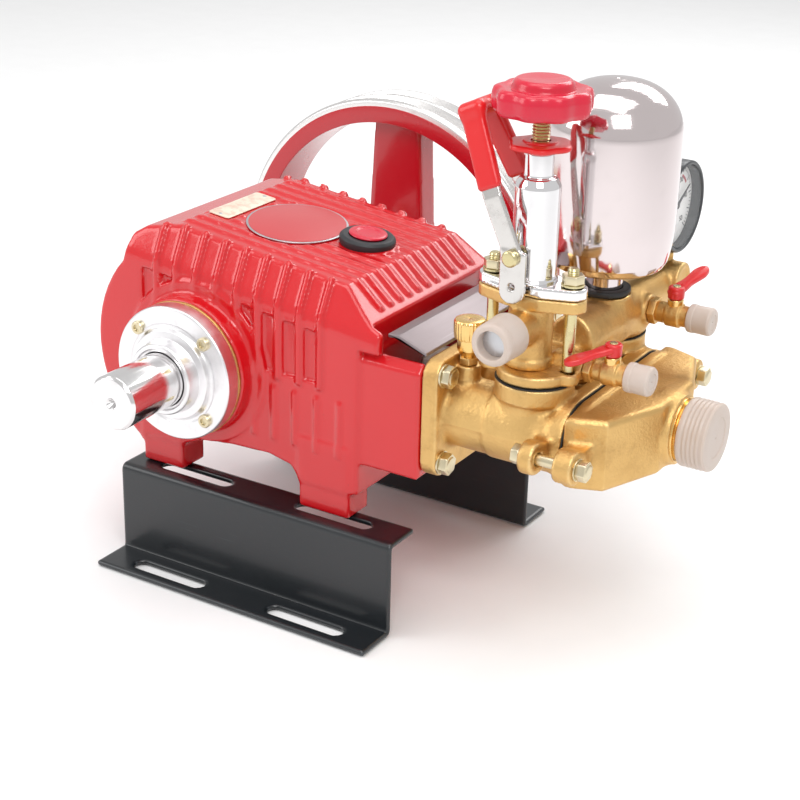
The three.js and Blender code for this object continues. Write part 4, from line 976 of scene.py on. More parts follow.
def turnedOnTop(name, paint, profile, x, y, sides=72, closed=False):
    obj = turned(name, paint, "z", profile, 0, 0, sides, 0.35, closed)
    co = np.empty(len(obj.data.vertices) * 3, np.float32)
    obj.data.vertices.foreach_get("co", co)
    drawn = co.reshape(-1, 3) * 1000 + origin
    placed = (onTop(x, y)(drawn) - origin) / 1000
    obj.data.vertices.foreach_set("co", placed.astype(np.float32).ravel())
    return obj


def ovalLine(a, b, steps=88):
    t = np.linspace(0, 2 * np.pi, steps, endpoint=False)
    return np.stack([a * np.cos(t), b * np.sin(t)], 1)


badge = prism("face", "badge", "z", ovalLine(25.8, 29.8), 0, 1.0, 0.25, bend=onTop(*trim["badge"]))
ring = prism("rim", "trim", "z", ovalLine(27, 31), 0, 0.7, 0.2, bend=onTop(*trim["badge"]))
settle(merge("oval badge", [badge, ring]), "frame", "badge", "name_badge")
plate = prism("data plate sheet", "label", "z", roundedBar(-7, 7, -23, 23, 2, 5), 0, 0.6, 0.15,
              bend=onTop(*trim["plate"]))
rivets = [turnedOnTop("rivet", "trim", [(0.2, 0.3), (1.3, 0.3), (1.2, 0.75), (0.2, 0.8)], trim["plate"][0],
                      trim["plate"][1] + s * 20.5, 16) for s in (-1, 1)]
settle(merge("data plate with rivets", [plate, *rivets]), "frame", "label", "data_plate")
seal = [(10.6, 0), (15, 0), (15.5, 2), (15.5, 4), (14, 5.5), (10.6, 5.5)]
settle(turnedOnTop("filler seal ring", "rubber", seal, *trim["filler"], closed=True), "frame", "rubber",
       "oil_filler_seal")
cap = turnedOnTop("plug", "plastic", [(0.4, -12), (8, -12), (8, 5.9), (10.6, 5.9), (10.6, 6.4), (10, 7),
                                      (8, 7.2), (6.6, 7.1), (6.0, 6.6), (0.4, 6.5)], *trim["filler"])
settle(cap, "oil_filler_cap", "red_plastic", "oil_filler_cap")
print("trim made")


head = {"z": 123.5, "valveX": 240.0, "deck": 152.0, "middle": 78.5, "ears": (5.0, 152.0)}
greaseCup = {"x": 202.0, "knurls": 28, "knurlDepth": 0.14}


def obround(y0, y1, half):
    return arc(y1 - half, head["z"], half, -90, 90, 14) + arc(y0 + half, head["z"], half, 90, 270, 14)


def makeCylinderBlock():
    z = head["z"]
    c = Casting((187.6, -3.1, 91), (265, 160.1, 155), 1.15)
    c.add(c.plate("x", roundedBar(14, 143, 91, 155, 9), 187.6, 197, 0.9), 0.01)
    for y in rows:
        c.add(c.rod("x", y, z, 18.5, 190, 262, 0.5), 3.5)
    for y in rows:
        c.add(c.rod("x", y, z, 19.4, 221, 262, 0.8), 1.0)  # thicker past the parting step
        c.add(c.rod("z", head["valveX"], y, 15, 118, 143, 1, 0.1), 3)
        c.add(c.rod("z", head["valveX"], y, 20, 142, 151.7, 0.8), 2.5)
    c.add(c.box((222, 259), (rows[0], rows[2]), (z - 16, z + 16), 2), 3)
    c.add(c.plate("x", obround(17, 140, 21), 257, 265, 0.9), 2)
    for y in head["ears"]:
        c.add(c.rod("x", y, z, 8.5, 252, 260, 0.8), 0.01)
        inner = (y, 22) if y < 80 else (135, y)
        c.add(c.box((252, 260), inner, (z - 6, z + 6), 1), 3)
        c.cut(c.rod("x", y, z, 3.3, 240, 270, 0.1), 0.5)
    c.add(c.rod("z", greaseCup["x"], rows[0], 6.5, z + 10, 150, 0.5), 2.5)
    seam = np.abs(c.z - z) - 0.5  # moulding seam along the barrels
    c.add(raised(c.field.copy(), 0.45, seam, 198 - c.x, c.x - 256, -1 - c.y), 0.6)
    for y in rows:
        c.cut(c.rod("x", y, z, 13.4, 180, 270, 0.1), 0.6)
        c.cut(c.rod("x", y, z, 17.35, 180, 196.95, 0.1), 0.6)
        c.cut(c.rod("z", head["valveX"], y, 10, z, 160, 0.1), 0.6)
    settle(c.skin("cylinder block casting", "brass"), "frame", "brass", "cylinder_block")


makeCylinderBlock()
print("cylinder block made")


def makeSuctionManifold():
    z, mid = head["z"], head["middle"]
    c = Casting((265.9, -3.1, 103), (318, 160.1, 144), 1.1)
    c.add(c.plate("x", obround(17.6, 139.4, 20.5), 265.9, 271.5, 0.9), 0.01)
    plan = [(265.9, mid - 60), (272, mid - 60), (287, mid - 54), (300.5, mid - 19), (300.5, mid + 19),
            (287, mid + 54), (272, mid + 60), (265.9, mid + 60)]
    c.add(np.maximum(c.plate("z", plan, 104.6, 142.4, 3.2), 266 - c.x), 2)
    c.add(c.rod("x", mid, z, 18.3, 292, 304, 0.9), 3.5)
    for y in head["ears"]:
        c.add(c.rod("x", y, z, 8.5, 270.9, 280.9, 0.8), 0.01)
        inner = (y, 26) if y < 80 else (131, y)
        c.add(c.box((270.9, 280.9), inner, (z - 6, z + 6), 1), 4)
        c.cut(c.rod("x", y, z, 3.3, 260, 290, 0.1), 0.5)
    c.keep(266 - c.x - 0.1, 0.2)
    for y in rows:
        c.cut(c.rod("x", y, z, 13, 250, 275, 0.1), 0.6)
    c.cut(c.box((266.5, 290), (38, 119), (z - 12, z + 12), 3), 0.6)
    c.cut(c.rod("x", mid, z, 12.4, 280, 330, 0.1), 0.6)
    body = c.skin("casting", "brass")
    prof = [(12.6, 303.6), (17.2, 303.6), (17.2, 305), (15.4, 305.4)]
    for x in np.arange(306.0, 316.6, 2.3):
        prof += [(15.4, x - 0.3), (16.6, x + 0.75), (16.6, x + 1.15), (15.4, x + 1.9)]
    prof += [(15.2, 317.4), (14.6, 318), (12.6, 318)]
    thread = turned("port thread", "brassTurnedX", "x", prof, mid, z, 96, 0.15)
    settle(merge("suction manifold casting", [body, thread]), "frame", "brass", "suction_manifold")
    cap = [(16.95, 307), (17.6, 307), (18, 308)]
    for x in np.arange(309.0, 320.0, 2.3):
        cap += [(18.0, x), (17.55, x + 1.15)]
    cap += [(17.9, 321.2), (17.2, 322.3), (11, 322.5), (10.4, 321.9), (0.5, 321.8), (0.5, 318.8),
            (16.7, 318.6)]
    settle(turned("port cap moulding", "cap", "x", cap, mid, z, 96, 0.2, False), "suction_port_cap",
           "cap_plastic", "suction_port_cap")
    gasket = prism("suction gasket sheet", "rubber", "x", obround(17.5, 139.5, 20.5), 265.2, 265.7, 0.1)
    carve(gasket, *[prism("cutter", "rubber", "x", arc(y, z, 13.4, 0, 350, 36), 260, 270, 0) for y in rows])
    settle(gasket, "frame", "rubber", "suction_gasket")


makeSuctionManifold()
print("suction manifold made")


def makeDischargeManifold():
    deck, valveX = head["deck"], head["valveX"]
    studs = [tower["x"] + side * tower["studs"] for side in (-1, 1)]
    c = Casting((209, 17, deck), (263.5, 176.3, 184.5), 1.0)
    for y in rows:
        c.add(c.rod("z", valveX, y, 19.3, deck, 158, 0.8), 2)
    c.add(c.box((228, 252), (36, 121), (deck, 158), 0.8), 2)
    for x in studs:
        c.add(c.rod("z", x, tower["y"], 5.9, deck, 158, 0.7), 1.5)
    c.add(c.box((214, 258), (31, 42), (deck, 158), 0.7), 2)
    c.add(c.rod("y", 247, 166, 12, 60, 172, 1.5), 3)
    c.add(c.box((235, 259), (60, 132), (154, 166), 2), 4)
    near, far = cocks["near"], cocks["far"]
    c.add(c.rod("x", near["y"], near["z"], 6.7, 247, near["x"], 0.8), 3)
    c.add(c.box((236, 252), (42, 62), (154, 163), 2), 4)
    c.add(c.rod("x", far["y"], far["z"], 8, 246, far["x"], 0.8), 2.5)
    c.add(c.rod("z", chamber["x"], chamber["y"], 14.5, 165, 178, 0.8), 3)
    c.add(c.rod("x", 167, 170, 9.5, 240, 262, 1), 2.5)
    c.add(c.rod("z", gauge["x"] - gauge["stem"], gauge["y"], 5, 170, 183, 0.6), 2)
    c.add(c.plate("z", regular(gauge["x"] - gauge["stem"], gauge["y"], 11), 180, 184.4, 0.5), 0.6)
    c.keep(deck - c.z, 0.2)
    c.cut(c.rod("x", 167, 170, 6.6, 261.2, 264, 0.2), 0.5)
    c.cut(c.rod("z", chamber["x"], chamber["y"], 9.9, 176, 182, 0.1), 0.5)
    for x in studs:
        c.cut(c.rod("z", x, tower["y"], 3.3, 150, 160, 0.1), 0.4)
    pieces = [c.skin("casting", "brass")]
    seat = [(9.9, 176.5), (14.1, 176.5), (14.1, 178), (13.3, 178.4), (9.9, 178.4)]
    pieces.append(turned("seat ring", "brassTurnedZ", "z", seat, chamber["x"], chamber["y"], 64, 0.2))
    settle(merge("discharge manifold casting", pieces), "frame", "brass", "discharge_manifold")
    ring = [(16, deck - 0.3), (20.2, deck - 0.3), (20.2, deck), (16, deck)]
    for i, y in enumerate(rows, 1):
        settle(turned(f"deck seal {i}", "rubber", "z", ring, valveX, y, 64, 0.05), "frame", "rubber")


makeDischargeManifold()
print("discharge manifold made")


towerPlate = {"end": 7.5, "half": 12.0, "flat": 9.0}


def plateLine():
    # Round ends about the studs, with a wider stretch between them.
    x, y, reach = tower["x"], tower["y"], tower["studs"]
    end, half, flat = (towerPlate[key] for key in ("end", "half", "flat"))
    line = arc(x + reach, y, end, -80, 80, 9) + [(x + flat, y + half), (x - flat, y + half)]
    return line + arc(x - reach, y, end, 100, 260, 9) + [(x - flat, y - half), (x + flat, y - half)]


def makeRegulator():
    x, y, outletZ = tower["x"], tower["y"], tower["outletZ"]
    c = Casting((207, 2.8, 158.3), (265, 48.5, 196.6), 0.85)
    c.add(c.rod("z", x, y, tower["radius"], 158.3, 194, 0.6), 0.01)
    c.add(c.rod("z", x, y, 12.4, 158.3, 163, 0.6), 1.5)
    c.add(c.plate("z", plateLine(), 190, 196.5, 0.7), 2.5)
    c.add(c.rod("y", x, outletZ, 9.5, 15, y, 0.8), 2.5)
    for side in (-1, 1):
        c.cut(c.rod("z", x + side * tower["studs"], y, 3.4, 150, 220, 0.1), 0.4)
    c.cut(c.rod("z", x, y, 6, 150, 200, 0.1), 0.4)
    c.cut(c.rod("y", x, outletZ, 5, 0, y, 0.1), 0.4)
    body = c.skin("casting", "brass")
    prof = [(5.1, 16), (7.4, 16)]
    for s in np.arange(14.6, 4.2, -1.6):
        prof += [(7.4, s + 0.3), (8.2, s - 0.4), (8.2, s - 0.6), (7.4, s - 1.2)]
    prof += [(7.3, 3.3), (5.1, 3.1)]
    thread = turned("outlet thread", "brassTurnedY", "y", prof, x, outletZ, 56, 0.08)
    settle(merge("regulator body casting", [body, thread]), "frame", "brass", "regulator_body")
    cap = [(0.4, 1), (7.0, 1), (7.2, 0.4), (7.2, -4.4), (7.6, -5), (9.3, -5), (10.3, -4.4), (10.8, -3.4),
           (10.9, -1), (10.6, -0.4), (10.75, 0.4), (11.3, 13.5), (8.7, 13.5), (8.6, 2.6), (0.4, 2.6)]
    settle(turned("overflow cap moulding", "cap", "y", cap, x, outletZ, 72, 0.4, False), "overflow_cap",
           "cap_plastic", "overflow_cap")
    floorLine = [(0.4, 0.98), (6.9, 0.98), (6.9, 0.55), (0.4, 0.5)]
    disc = turned("overflow cap floor", "trim", "y", floorLine, x, outletZ, 48, 0.1, False)
    settle(disc, "overflow_cap", "cap_plastic")


def makeStud(name, x):
    y = tower["y"]
    prof = [(0.4, 158.3), (2.6, 158.3), (3, 159), (3, 201)]
    for s in np.arange(202.0, 211.0, 1.1):
        prof += [(3.0, s), (2.6, s + 0.55)]
    prof += [(2.7, 211.3), (2.2, 212), (0.4, 212)]
    rod = turned("post", "zinc", "z", prof, x, y, 28, 0.1, False)
    washer = turned("washer", "zinc", "z", [(3.0, 203.1), (5.8, 203.1), (5.8, 204.2), (3.0, 204.2)], x, y,
                    36, 0.2)
    nut = prism("nut", "boltMetal", "z", regular(x, y, 10, turn=12), 204.2, 208.8, 0.5, 0.6)
    settle(merge(name + " post and nut", [rod, washer, nut]), "frame", "zinc_plate", name)


def makeHousing():
    x, y = tower["x"], tower["y"]
    c = Casting((207, 24.5, 196.8), (265, 48.5, 203), 0.8)
    c.add(c.plate("z", plateLine(), 196.8, 202.6, 0.8), 0.01)
    for side in (-1, 1):
        c.cut(c.rod("z", x + side * tower["studs"], y, 3.4, 150, 220, 0.1), 0.4)
    c.cut(c.rod("z", x, y, 9.2, 150, 220, 0.1), 0.3)
    plate = c.skin("plate", "chrome")
    r = tower["radius"]
    prof = [(r - 2, 197), (r + 1, 202.4), (r + 1, 203.6), (r, 204.4), (r, 249.4), (r - 0.5, 251),
            (r - 2, 253.3), (r - 2.6, 253.8), (7.2, 254.2), (7, 255), (7, 265.2), (6.4, 266), (4.8, 266),
            (4.8, 249.6), (r - 2, 249.2)]
    tube = turned("tube", "chrome", "z", prof, x, y, 96, 0.35)
    pinHole = arc(leverLook["x"], leverLook["z"], 3.3, 0, 345, 24)
    carve(tube, prism("cutter", "chrome", "y", pinHole, 10, 60, 0))
    settle(merge("spring housing tube and plate", [plate, tube]), "frame", "chrome", "spring_housing")


def lobed(lobes, depth, inner, outer):
    # Pulls the radius in between evenly spaced lobes, fading from none at inner to all of it at outer.
    def wave(a, r, s):
        share = np.clip((r - inner) / (outer - inner), 0, 1)
        return r - depth * (0.5 - 0.5 * np.cos(lobes * a)) * share * share * (3 - 2 * share)

    return wave


def makeHandwheel():
    x, y = tower["x"], tower["y"]
    prof = [(0.4, 292.2), (4.8, 292.2), (4.8, 284.6), (10, 284.2), (21, 284), (23.2, 284.8), (24.4, 287),
            (24.5, 293), (23.6, 296), (21.4, 297), (17.4, 296.6), (15.4, 296.2), (14.9, 297.4),
            (14.4, 299.6), (12.6, 301), (6, 300.6), (0.4, 300.4)]
    knob = turned("handwheel moulding", "plastic", "z", prof, x, y, 180, 0.9, False, lobed(9, 2.0, 16, 23))
    settle(knob, "handwheel", "red_plastic", "handwheel")
    stem = [(0.4, 244.8), (3.6, 244.8)]
    for s in np.arange(246.0, 290.0, 1.5):
        stem += [(3.75, s - 0.2), (4.4, s + 0.5), (4.4, s + 0.65), (3.75, s + 1.25)]
    stem += [(3.6, 291.4), (0.4, 292)]
    settle(turned("adjusting stem screw", "zinc", "z", stem, x, y, 40, 0.08, False), "handwheel",
           "zinc_plate", "adjusting_stem")
    lock = [(4.8, 266.6), (8, 266.6), (8.5, 267.2), (14.8, 267.5), (16, 268.3), (16, 269.8), (14.8, 270.5),
            (8.6, 270.6), (8.2, 271.5), (4.8, 271.5)]
    settle(turned("lock disc moulding", "dip", "z", lock, x, y, 120, 0.5, True, lobed(6, 1.6, 10, 15)),
           "lock_disc", "red_plastic", "lock_disc")


leverLook = {"x": 233.0, "z": 217.0, "tilt": 25.0, "near": 20.5, "far": 52.5, "thick": 2.6, "grip": 34.0,
             "top": 74.0, "gripThick": 5.4, "lean": 30.0, "slope": 0.2}


def makeLever():
    v = leverLook
    tilt = math.radians(v["tilt"])
    for name in ("bar", "grip"):
        c = Casting((195.3, 17.8, 193), (240, 55.2, 288), 0.75)
        along = -(c.x - v["x"]) * math.sin(tilt) + (c.z - v["z"]) * math.cos(tilt)
        across = (c.x - v["x"]) * math.cos(tilt) + (c.z - v["z"]) * math.sin(tilt)
        # above the lean the prongs come together: their places on Y are measured from a slanted line
        nearLean = c.y - v["slope"] * np.maximum(along - v["lean"], 0)
        farLean = c.y + v["slope"] * np.maximum(along - v["lean"], 0)

        def brick(l0, l1, half, y0, y1, round, y=c.y):
            q = [np.abs(along - (l0 + l1) / 2) - (l1 - l0) / 2 + round, np.abs(across) - half + round,
                 np.abs(y - (y0 + y1) / 2) - (y1 - y0) / 2 + round]
            far = np.sqrt(sum(np.maximum(k, 0) ** 2 for k in q))
            return far + np.minimum(np.maximum(np.maximum(q[0], q[1]), q[2]), 0) - round

        if name == "bar":
            for y, line in ((v["near"], nearLean), (v["far"], farLean)):
                y0, y1 = y - v["thick"] / 2, y + v["thick"] / 2
                c.add(brick(-2, v["top"], 5.0, y0, y1, 0.6, line), 0.01)
                foot = [(v["x"] - 7, v["z"] + 3), (v["x"] + 7, v["z"] + 3),
                        *arc(v["x"], v["z"] - 17, 7, 0, -180, 12)]
                c.add(c.plate("y", foot, y0, y1, 0.6), 1.5)
                c.cut(c.rod("y", v["x"], v["z"], 2.8, 0, 80, 0.1), 0.4)
                c.cut(c.rod("y", v["x"], v["z"] - 15, 1.7, 0, 80, 0.1), 0.4)
            c.add(brick(v["top"] - 2.6, v["top"], 5.0, v["near"] + 7.5, v["far"] - 7.5, 0.6), 1.5)
            settle(c.skin("lever flat bar", "steelX"), "relief_lever", "steel", "relief_lever")
        else:
            half = v["gripThick"] / 2
            for y, line in ((v["near"], nearLean), (v["far"], farLean)):
                c.add(brick(v["grip"], v["top"] + 1.1, 6.4, y - half, y + half, 2.4, line), 0.01)
            c.add(brick(v["top"] - 4.2, v["top"] + 1.1, 6.4, v["near"] + 6.2, v["far"] - 6.2, 2.4), 5)
            settle(c.skin("lever dipped grip", "dip"), "relief_lever", "red_plastic", "lever_grip")
    pin = [(0.4, 15), (3.2, 15), (4.2, 15.8), (4.2, 18.9), (2.5, 18.9), (2.5, 54.1), (4.2, 54.1), (4.2, 55),
           (3.4, 55.5), (0.4, 55.5)]
    settle(turned("lever pin rivet", "zinc", "y", pin, v["x"], v["z"], 40, 0.4, False), "relief_lever",
           "zinc_plate", "lever_pin")


spring = {"radius": 7.0, "wire": 1.1, "bottom": 224.2, "top": 240.2, "turns": 4, "keep": 0.66}


def makeSpring():
    # A helix: the place on z grows evenly with the angle, and each end lies flat for a quarter turn.
    t = np.linspace(0, 1, 150)
    a = t * spring["turns"] * 2 * np.pi
    rise = np.clip((t - 0.05) / 0.9, 0, 1)
    path = np.stack([tower["x"] + spring["radius"] * np.cos(a), tower["y"] + spring["radius"] * np.sin(a),
                     spring["bottom"] + (spring["top"] - spring["bottom"]) * rise], 1)
    coil = sweep("regulator spring wire", "steelZ", path, arc(0, 0, spring["wire"], 0, 330, 12))
    settle(coil, "frame", "steel", "regulator_spring")
    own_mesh(coil)


makeSpring()
makeRegulator()
makeStud("left_tower_stud", tower["x"] - tower["studs"])
makeStud("right_tower_stud", tower["x"] + tower["studs"])
makeHousing()
makeHandwheel()
makeLever()
print("regulator tower made")


def makeChamber():
    r, bottom, shoulder, top = (chamber[key] for key in ("radius", "bottom", "shoulder", "top"))
    turns = np.linspace(0.02, 1.5, 16)
    dome = [(r * math.cos(a) ** 0.8, shoulder + (top - shoulder) * math.sin(a)) for a in turns]
    prof = [(5, 178.6), (9.3, 178.6), (9.5, 179.2), (9.5, bottom - 1.5), (12, bottom), (r - 6, bottom),
            (r - 4.2, bottom + 1.3), (r - 2.5, bottom + 4.5), (r - 1.1, bottom + 12), (r - 0.3, bottom + 19),
            (r, bottom + 27), (r, shoulder), *dome[1:], (3.6, top), (0.8, top)]
    inner = [(0.8, top - 2), (10, top - 2.6), (r - 10, shoulder + 12), (r - 3, shoulder - 3),
             (r - 3, bottom + 27), (r - 5, bottom + 6), (r - 8, bottom + 3), (5, bottom + 3)]
    # the shell's pinkish grey chrome colour is painted reflection
    shell = turned("air chamber shell", "chamberChromePaintedReflection", "z", prof + inner, chamber["x"], chamber["y"], 160,
                   0.7)
    settle(shell, "frame", "chrome", "air_chamber")
    ring = [(9.6, 178.7), (13.6, 178.7), (13.9, 180.2), (13.6, 181.8), (9.6, 181.8)]
    settle(turned("air chamber seal ring", "rubber", "z", ring, chamber["x"], chamber["y"], 56, 0.6),
           "frame", "rubber")


makeChamber()
print("air chamber made")


dial = {"ticks": 51, "major": 5, "start": 225.0, "sweep": 270.0, "bandFrom": 38.0, "bandTo": 62.0,
        "amberTurn": 40.0, "numbers": ("0", "10", "20", "30", "40", "50"), "letter": 0.0042}


def dialBar(name, paint, turn, r0, r1, width, x):
    a = math.radians(turn)
    along, across = np.array([math.cos(a), math.sin(a)]), np.array([-math.sin(a), math.cos(a)])
    mid = np.array([gauge["y"], gauge["z"]])
    line = [mid + along * r0 - across * width / 2, mid + along * r1 - across * width / 2,
            mid + along * r1 + across * width / 2, mid + along * r0 + across * width / 2]
    return prism(name, paint, "x", line, x, x + 0.12, 0)


def makeGauge():
    x, y, z, r = gauge["x"], gauge["y"], gauge["z"], gauge["radius"]
    back = x - gauge["depth"]
    prof = [(0.5, back), (r - 3, back), (r - 1.2, back + 1.2), (r - 1.2, x - 9), (r - 0.6, x - 8.2),
            (r, x - 7.4), (r, x - 0.8), (r - 0.7, x), (r - 2, x), (r - 2.6, x - 0.8), (r - 2.6, x - 7),
            (0.5, x - 7)]
    shell = turned("case", "bezel", "x", prof, y, z, 128, 0.5, False)
    stemLine = [(0.4, 186), (4.2, 186), (4.2, 189.9), (0.4, 189.9)]
    stem = turned("stem", "brassTurnedZ", "z", stemLine, x - gauge["stem"], y, 40, 0.2, False)
    nut = prism("wrench flat", "brassTurnedZ", "z", regular(x - gauge["stem"], y, 10), 184.8, 188.2, 0.4, 0.5)
    cardLine = [(0.4, x - 6.95), (r - 2.7, x - 6.95), (r - 2.7, x - 6.6), (0.4, x - 6.6)]
    card = turned("dial", "dial", "x", cardLine, y, z, 96, 0.05, False)
    marks = []
    for i in range(dial["ticks"]):
        turn = dial["start"] - dial["sweep"] * i / (dial["ticks"] - 1)
        major = i % dial["major"] == 0
        marks.append(dialBar("mark", "ink", turn, r - (6.9 if major else 5.4), r - 3.6,
                             0.55 if major else 0.3, x - 6.6))
    for i in range(12):
        turn = dial["bandFrom"] + (dial["bandTo"] - dial["bandFrom"]) * i / 11
        marks.append(dialBar("band", "rose", turn, r - 9.4, r - 8.0, 0.75, x - 6.6))
        marks.append(dialBar("band", "amber", turn + dial["amberTurn"], r - 9.4, r - 8.0, 0.75, x - 6.6))
    for i, value in enumerate(dial["numbers"]):
        marks.append(dialNumber(value, dial["start"] - dial["sweep"] * i / (len(dial["numbers"]) - 1),
                                r - 11.0))
    settle(merge("gauge case and dial", [shell, stem, nut, card, *marks]), "frame", "black_plastic",
           "gauge_case")
    lens = [(0.5, x - 1.6), (r - 2.8, x - 1.6), (r - 2.8, x - 0.7), (r - 5, x - 0.4), (0.5, x - 0.4)]
    settle(turned("gauge lens disc", "lens", "x", lens, y, z, 96, 0.15, False), "frame", "lens", "gauge_lens")
    a = math.radians(gauge["needle"])
    along, across = np.array([math.cos(a), math.sin(a)]), np.array([-math.sin(a), math.cos(a)])
    mid = np.array([y, z])
    outline = ((-4.4, -1.0), (0, -1.1), (15.5, -0.3), (17.4, 0), (15.5, 0.3), (0, 1.1), (-4.4, 1.0))
    line = [mid + along * u + across * v for u, v in outline]
    needle = prism("pointer", "ink", "x", line, x - 5.1, x - 4.5, 0.1)
    hub = turned("hub", "ink", "x", [(0.3, x - 5.6), (2, x - 5.6), (2, x - 4.3), (1.4, x - 4),
                                     (0.3, x - 4)], y, z, 32, 0.2, False)
    settle(merge("gauge needle and hub", [needle, hub]), "gauge_needle", "black_plastic", "gauge_needle")


def dialNumber(text, turn, radius):
    # A small raised number on the dial, read from the +X side.
    curve = bpy.data.curves.new("number", "FONT")
    curve.body, curve.size, curve.extrude = text, dial["letter"], 0.00006
    curve.align_x, curve.align_y = "CENTER", "CENTER"
    made = bpy.data.objects.new("number", curve)
    bpy.context.scene.collection.objects.link(made)
    mesh = bpy.data.meshes.new_from_object(made.evaluated_get(bpy.context.evaluated_depsgraph_get()))
    bpy.data.objects.remove(made)
    a = math.radians(turn)
    at = Vector(((gauge["x"] - 6.52 - origin[0]) / 1000,
                 (gauge["y"] + radius * math.cos(a) - origin[1]) / 1000,
                 (gauge["z"] + radius * math.sin(a)) / 1000))
    mesh.transform(Matrix.Translation(at) @ Matrix(((0, 0, 1, 0), (1, 0, 0, 0), (0, 1, 0, 0), (0, 0, 0, 1))))
    mesh.materials.clear()
    mesh.materials.append(paints["ink"])
    obj = bpy.data.objects.new("number", mesh)
    bpy.context.scene.collection.objects.link(obj)
    return obj


makeGauge()
print("gauge made")


def makeCock(name, at):
    x, y, z = at["x"] + 0.3, at["y"], at["z"]
    hexEnd = prism("hex", "brass", "x", regular(y, z, 13), x, x + 4, 0.4, 0.5)
    prof = [(3, x + 3), (5.2, x + 3.6), (5.6, x + 5), (5.6, x + 8.5), (6.6, x + 9.6), (6.6, x + 16.6),
            (5.6, x + 17.6), (5.6, x + 21), (6.4, x + 21.6)]
    for s in np.arange(x + 23.4, x + 31, 1.5):
        prof += [(5.8, s - 0.4), (6.6, s + 0.25), (6.6, s + 0.4), (5.8, s + 0.9)]
    prof += [(5.7, x + 31.8), (5.2, x + 32), (3, x + 32)]
    tube = turned("tube", "brass", "x", prof, y, z, 48, 0.2)
    post = turned("post", "brassTurnedZ", "z", [(0.4, z + 2), (4.2, z + 4), (4.2, z + 8.4), (3.6, z + 9),
                                                (0.4, z + 9)], x + 13, y, 36, 0.3, False)
    settle(merge(name + " cock casting", [hexEnd, tube, post]), "frame", "brass", name + "_cock_body")
    end = x + 32
    cap = [(6.9, end - 10), (7.4, end - 10), (7.6, end - 9.2), (7.6, end - 7), (7.3, end - 6.6),
           (7.5, end + 1.6), (6.7, end + 2.8), (4.4, end + 3), (4.0, end + 2.5), (0.4, end + 2.5),
           (0.4, end + 0.6), (6.9, end + 0.6)]
    settle(turned(name + " cock cap moulding", "cap", "x", cap, y, z, 56, 0.3, False), name + "_cock_cap",
           "cap_plastic", name + "_cock_cap")
    turn = math.radians(at["turn"])
    tiltCos, tiltSin = math.cos(at["tilt"]), math.sin(at["tilt"])

    def place(grid):
        gx, gy, gz = grid[..., 0], grid[..., 1], grid[..., 2]
        tx, tz = gx * tiltCos + gz * tiltSin, gz * tiltCos - gx * tiltSin
        return np.stack([x + 13 + tx * math.cos(turn) - gy * math.sin(turn),
                         y + tx * math.sin(turn) + gy * math.cos(turn), z + 11.5 + tz], -1)
    arm = [(-3.9, -3.3), (0, -4.1), (6, -3.6), (10, -2.9), (14, -3.4), (20, -4.2), (25, -2.8), (26.8, 0),
           (25, 2.8), (20, 4.2), (14, 3.4), (10, 2.9), (6, 3.6), (0, 4.1), (-3.9, 3.3)]
    blade = prism("blade", "dip", "z", arm, 0, 3.2, 1.0, 1.6, place)
    hubLine = [(0.4, z + 9.3), (4.4, z + 9.3), (4.4, z + 15), (3.6, z + 15.6), (0.4, z + 15.6)]
    hub = turned("hub", "dip", "z", hubLine, x + 13, y, 40, 0.5, False)
    screwLine = [(0.3, z + 15.4), (2.2, z + 15.4), (2.0, z + 16), (0.3, z + 16)]
    screw = turned("screw", "zinc", "z", screwLine, x + 13, y, 24, 0.15, False)
    settle(merge(name + " cock lever moulding", [blade, hub, screw]), name + "_cock_lever", "red_plastic",
           name + "_cock_lever")


for side, at in cocks.items():
    makeCock(side, at)
print("cocks made")


def makeGreaseCup():
    x, y = greaseCup["x"], rows[0]
    foot = prism("foot", "brass", "z", regular(x, y, 9), 150.3, 154, 0.4, 0.4)
    bowlLine = [(0.4, 153), (4, 153), (4.2, 154.6), (6.2, 158), (6.2, 167.5), (0.4, 167.5)]
    bowl = turned("bowl", "brassTurnedZ", "z", bowlLine, x, y, 48, 0.4, False)
    settle(merge("grease cup bowl", [foot, bowl]), "frame", "brass", "grease_cup")
    cap = [(6.5, 164), (7.6, 164), (8.0, 165), (8.3, 168), (8.3, 173), (7.5, 174.2), (5, 174.5),
           (0.4, 174.3), (0.4, 167.8), (6.5, 167.8)]

    def knurl(a, r, s):
        return np.where(r > 7.8, r - 0.16 + greaseCup["knurlDepth"] * np.cos(greaseCup["knurls"] * a), r)

    settle(turned("grease cup knurled cap", "brassTurnedZ", "z", cap, x, y, 168, 0.3, False, knurl),
           "grease_cup_cap", "brass", "grease_cup_cap")


makeGreaseCup()


def makeBolt(name, axis, u, v, seat, out, flats=10.0, height=5.0, turn=0.0):
    # Washer, hexagon head with a domed end, standing out from its seat along the axis.
    def a(s):
        return seat + out * s

    ring = [(2.5, a(0.02)), (flats * 0.6, a(0.02)), (flats * 0.6, a(1.0)), (2.5, a(1.0))]
    washer = turned("washer", "boltMetal", axis, ring, u, v, 40, 0.2)
    low, high = sorted((a(0.9), a(0.9 + height)))
    hexHead = prism("hexagon", "boltMetal", axis, regular(u, v, flats, turn=turn), low, high, 0.55, 0.7)
    cone = [(0.3, a(height + 0.6)), (flats * 0.44, a(height + 0.7)), (flats * 0.36, a(height + 1.5)),
            (0.3, a(height + 1.9))]
    dome = turned("dome", "boltMetal", axis, cone, u, v, 32, 0.4, False)
    settle(merge(name, [washer, hexHead, dome]), "frame", "zinc_plate")


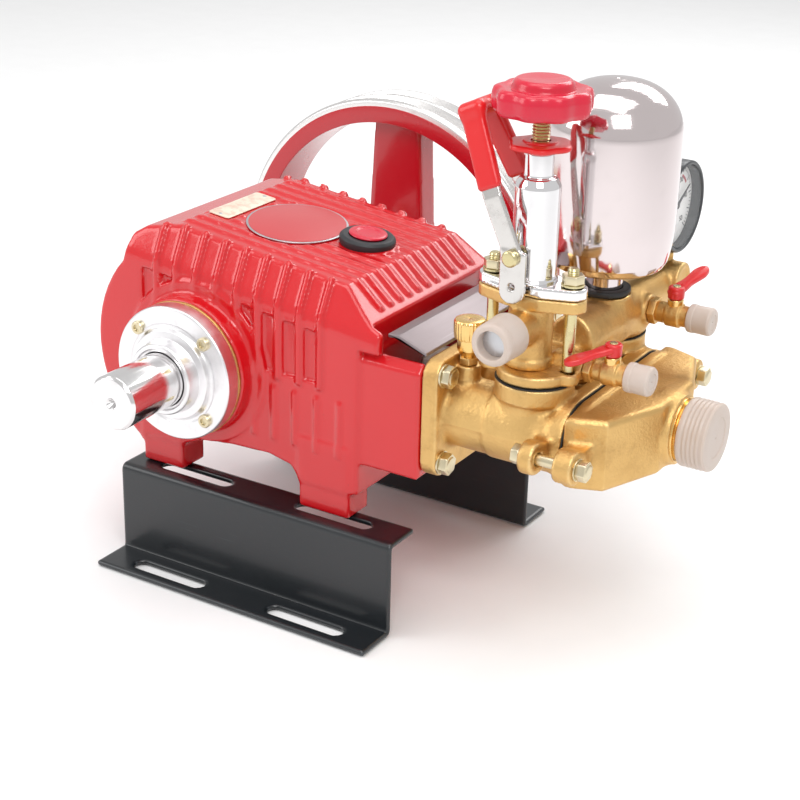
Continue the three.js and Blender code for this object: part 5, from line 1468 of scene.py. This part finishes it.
for side, y in (("near", 21.0), ("far", 136.0)):
    for level, z in (("upper", 147.0), ("lower", 99.0)):
        makeBolt(f"{side} {level} flange bolt", "x", y, z, 197.0, 1, 10.5, 4.6, 14)
for side, y in zip(("near", "far"), head["ears"]):
    makeBolt(f"{side} ear bolt", "x", y, head["z"], 280.9, 1, 9.5, 5.2, 8)
    post = turned(f"{side} ear stud", "boltMetal", "x", [(0.3, 246), (2.7, 246), (3.0, 247), (3.0, 281),
                                                         (0.3, 281)], y, head["z"], 28, 0.3, False)
    settle(post, "frame", "zinc_plate")
    makeBolt(f"{side} ear nut", "x", y, head["z"], 252.0, -1, 9.5, 4.4, 20)
for side, y in (("near", 57.5), ("far", 99.5)):
    makeBolt(f"{side} manifold bolt", "x", y, head["z"] + 14, 272.2, 1, 8.5, 4.0, 5)
print("head fittings made")


kept = {"near_bearing": "steelY", "far_bearing": "steelY", "valve_rod": "steelZ", "spring_seat": "steelZ"}
for i in (1, 2, 3):
    kept |= {f"connecting_rod_{i}": "alloy", f"crosshead_{i}": "steelX", f"plunger_{i}": "ceramic",
             f"plunger_packing_{i}": "packing"}
for name, paint in kept.items():
    paintNode(name, paint)
print("inner pieces painted")


def areaLight(name, at, target, size, power):
    data = bpy.data.lights.new(name, "AREA")
    data.shape, data.size, data.size_y, data.energy = "RECTANGLE", size[0], size[1], power
    lamp = bpy.data.objects.new(name, data)
    bpy.context.scene.collection.objects.link(lamp)
    lamp.location = at
    lamp.rotation_mode = "QUATERNION"
    lamp.rotation_quaternion = (Vector(target) - Vector(at)).to_track_quat("-Z", "Y")


def makeStudio():
    for name, box in softboxes.items():
        areaLight(name + " softbox", **box)
    world = bpy.data.worlds.new("studio")
    world.use_nodes = True
    world.node_tree.nodes["Background"].inputs[0].default_value = (1, 1, 1, 1)
    world.node_tree.nodes["Background"].inputs[1].default_value = studio["world"]
    bpy.context.scene.world = world
    floorPaint = Paint("pale floor")
    grain = floorPaint.noise(30, 3)
    floorPaint.set(color=floorPaint.mix(grain, (0.9, 0.9, 0.9), (0.86, 0.86, 0.86)), roughness=0.9)
    mesh = bpy.data.meshes.new("floor")
    a, z = studio["floorReach"], -studio["floorDrop"]
    mesh.from_pydata([(-a, -a, z), (a, -a, z), (a, a, z), (-a, a, z)], [], [(0, 1, 2, 3)])
    mesh.materials.append(floorPaint.material)
    floor = bpy.data.objects.new("floor", mesh)
    bpy.context.scene.collection.objects.link(floor)
    bpy.context.scene.view_settings.view_transform = "Standard"


makeStudio()
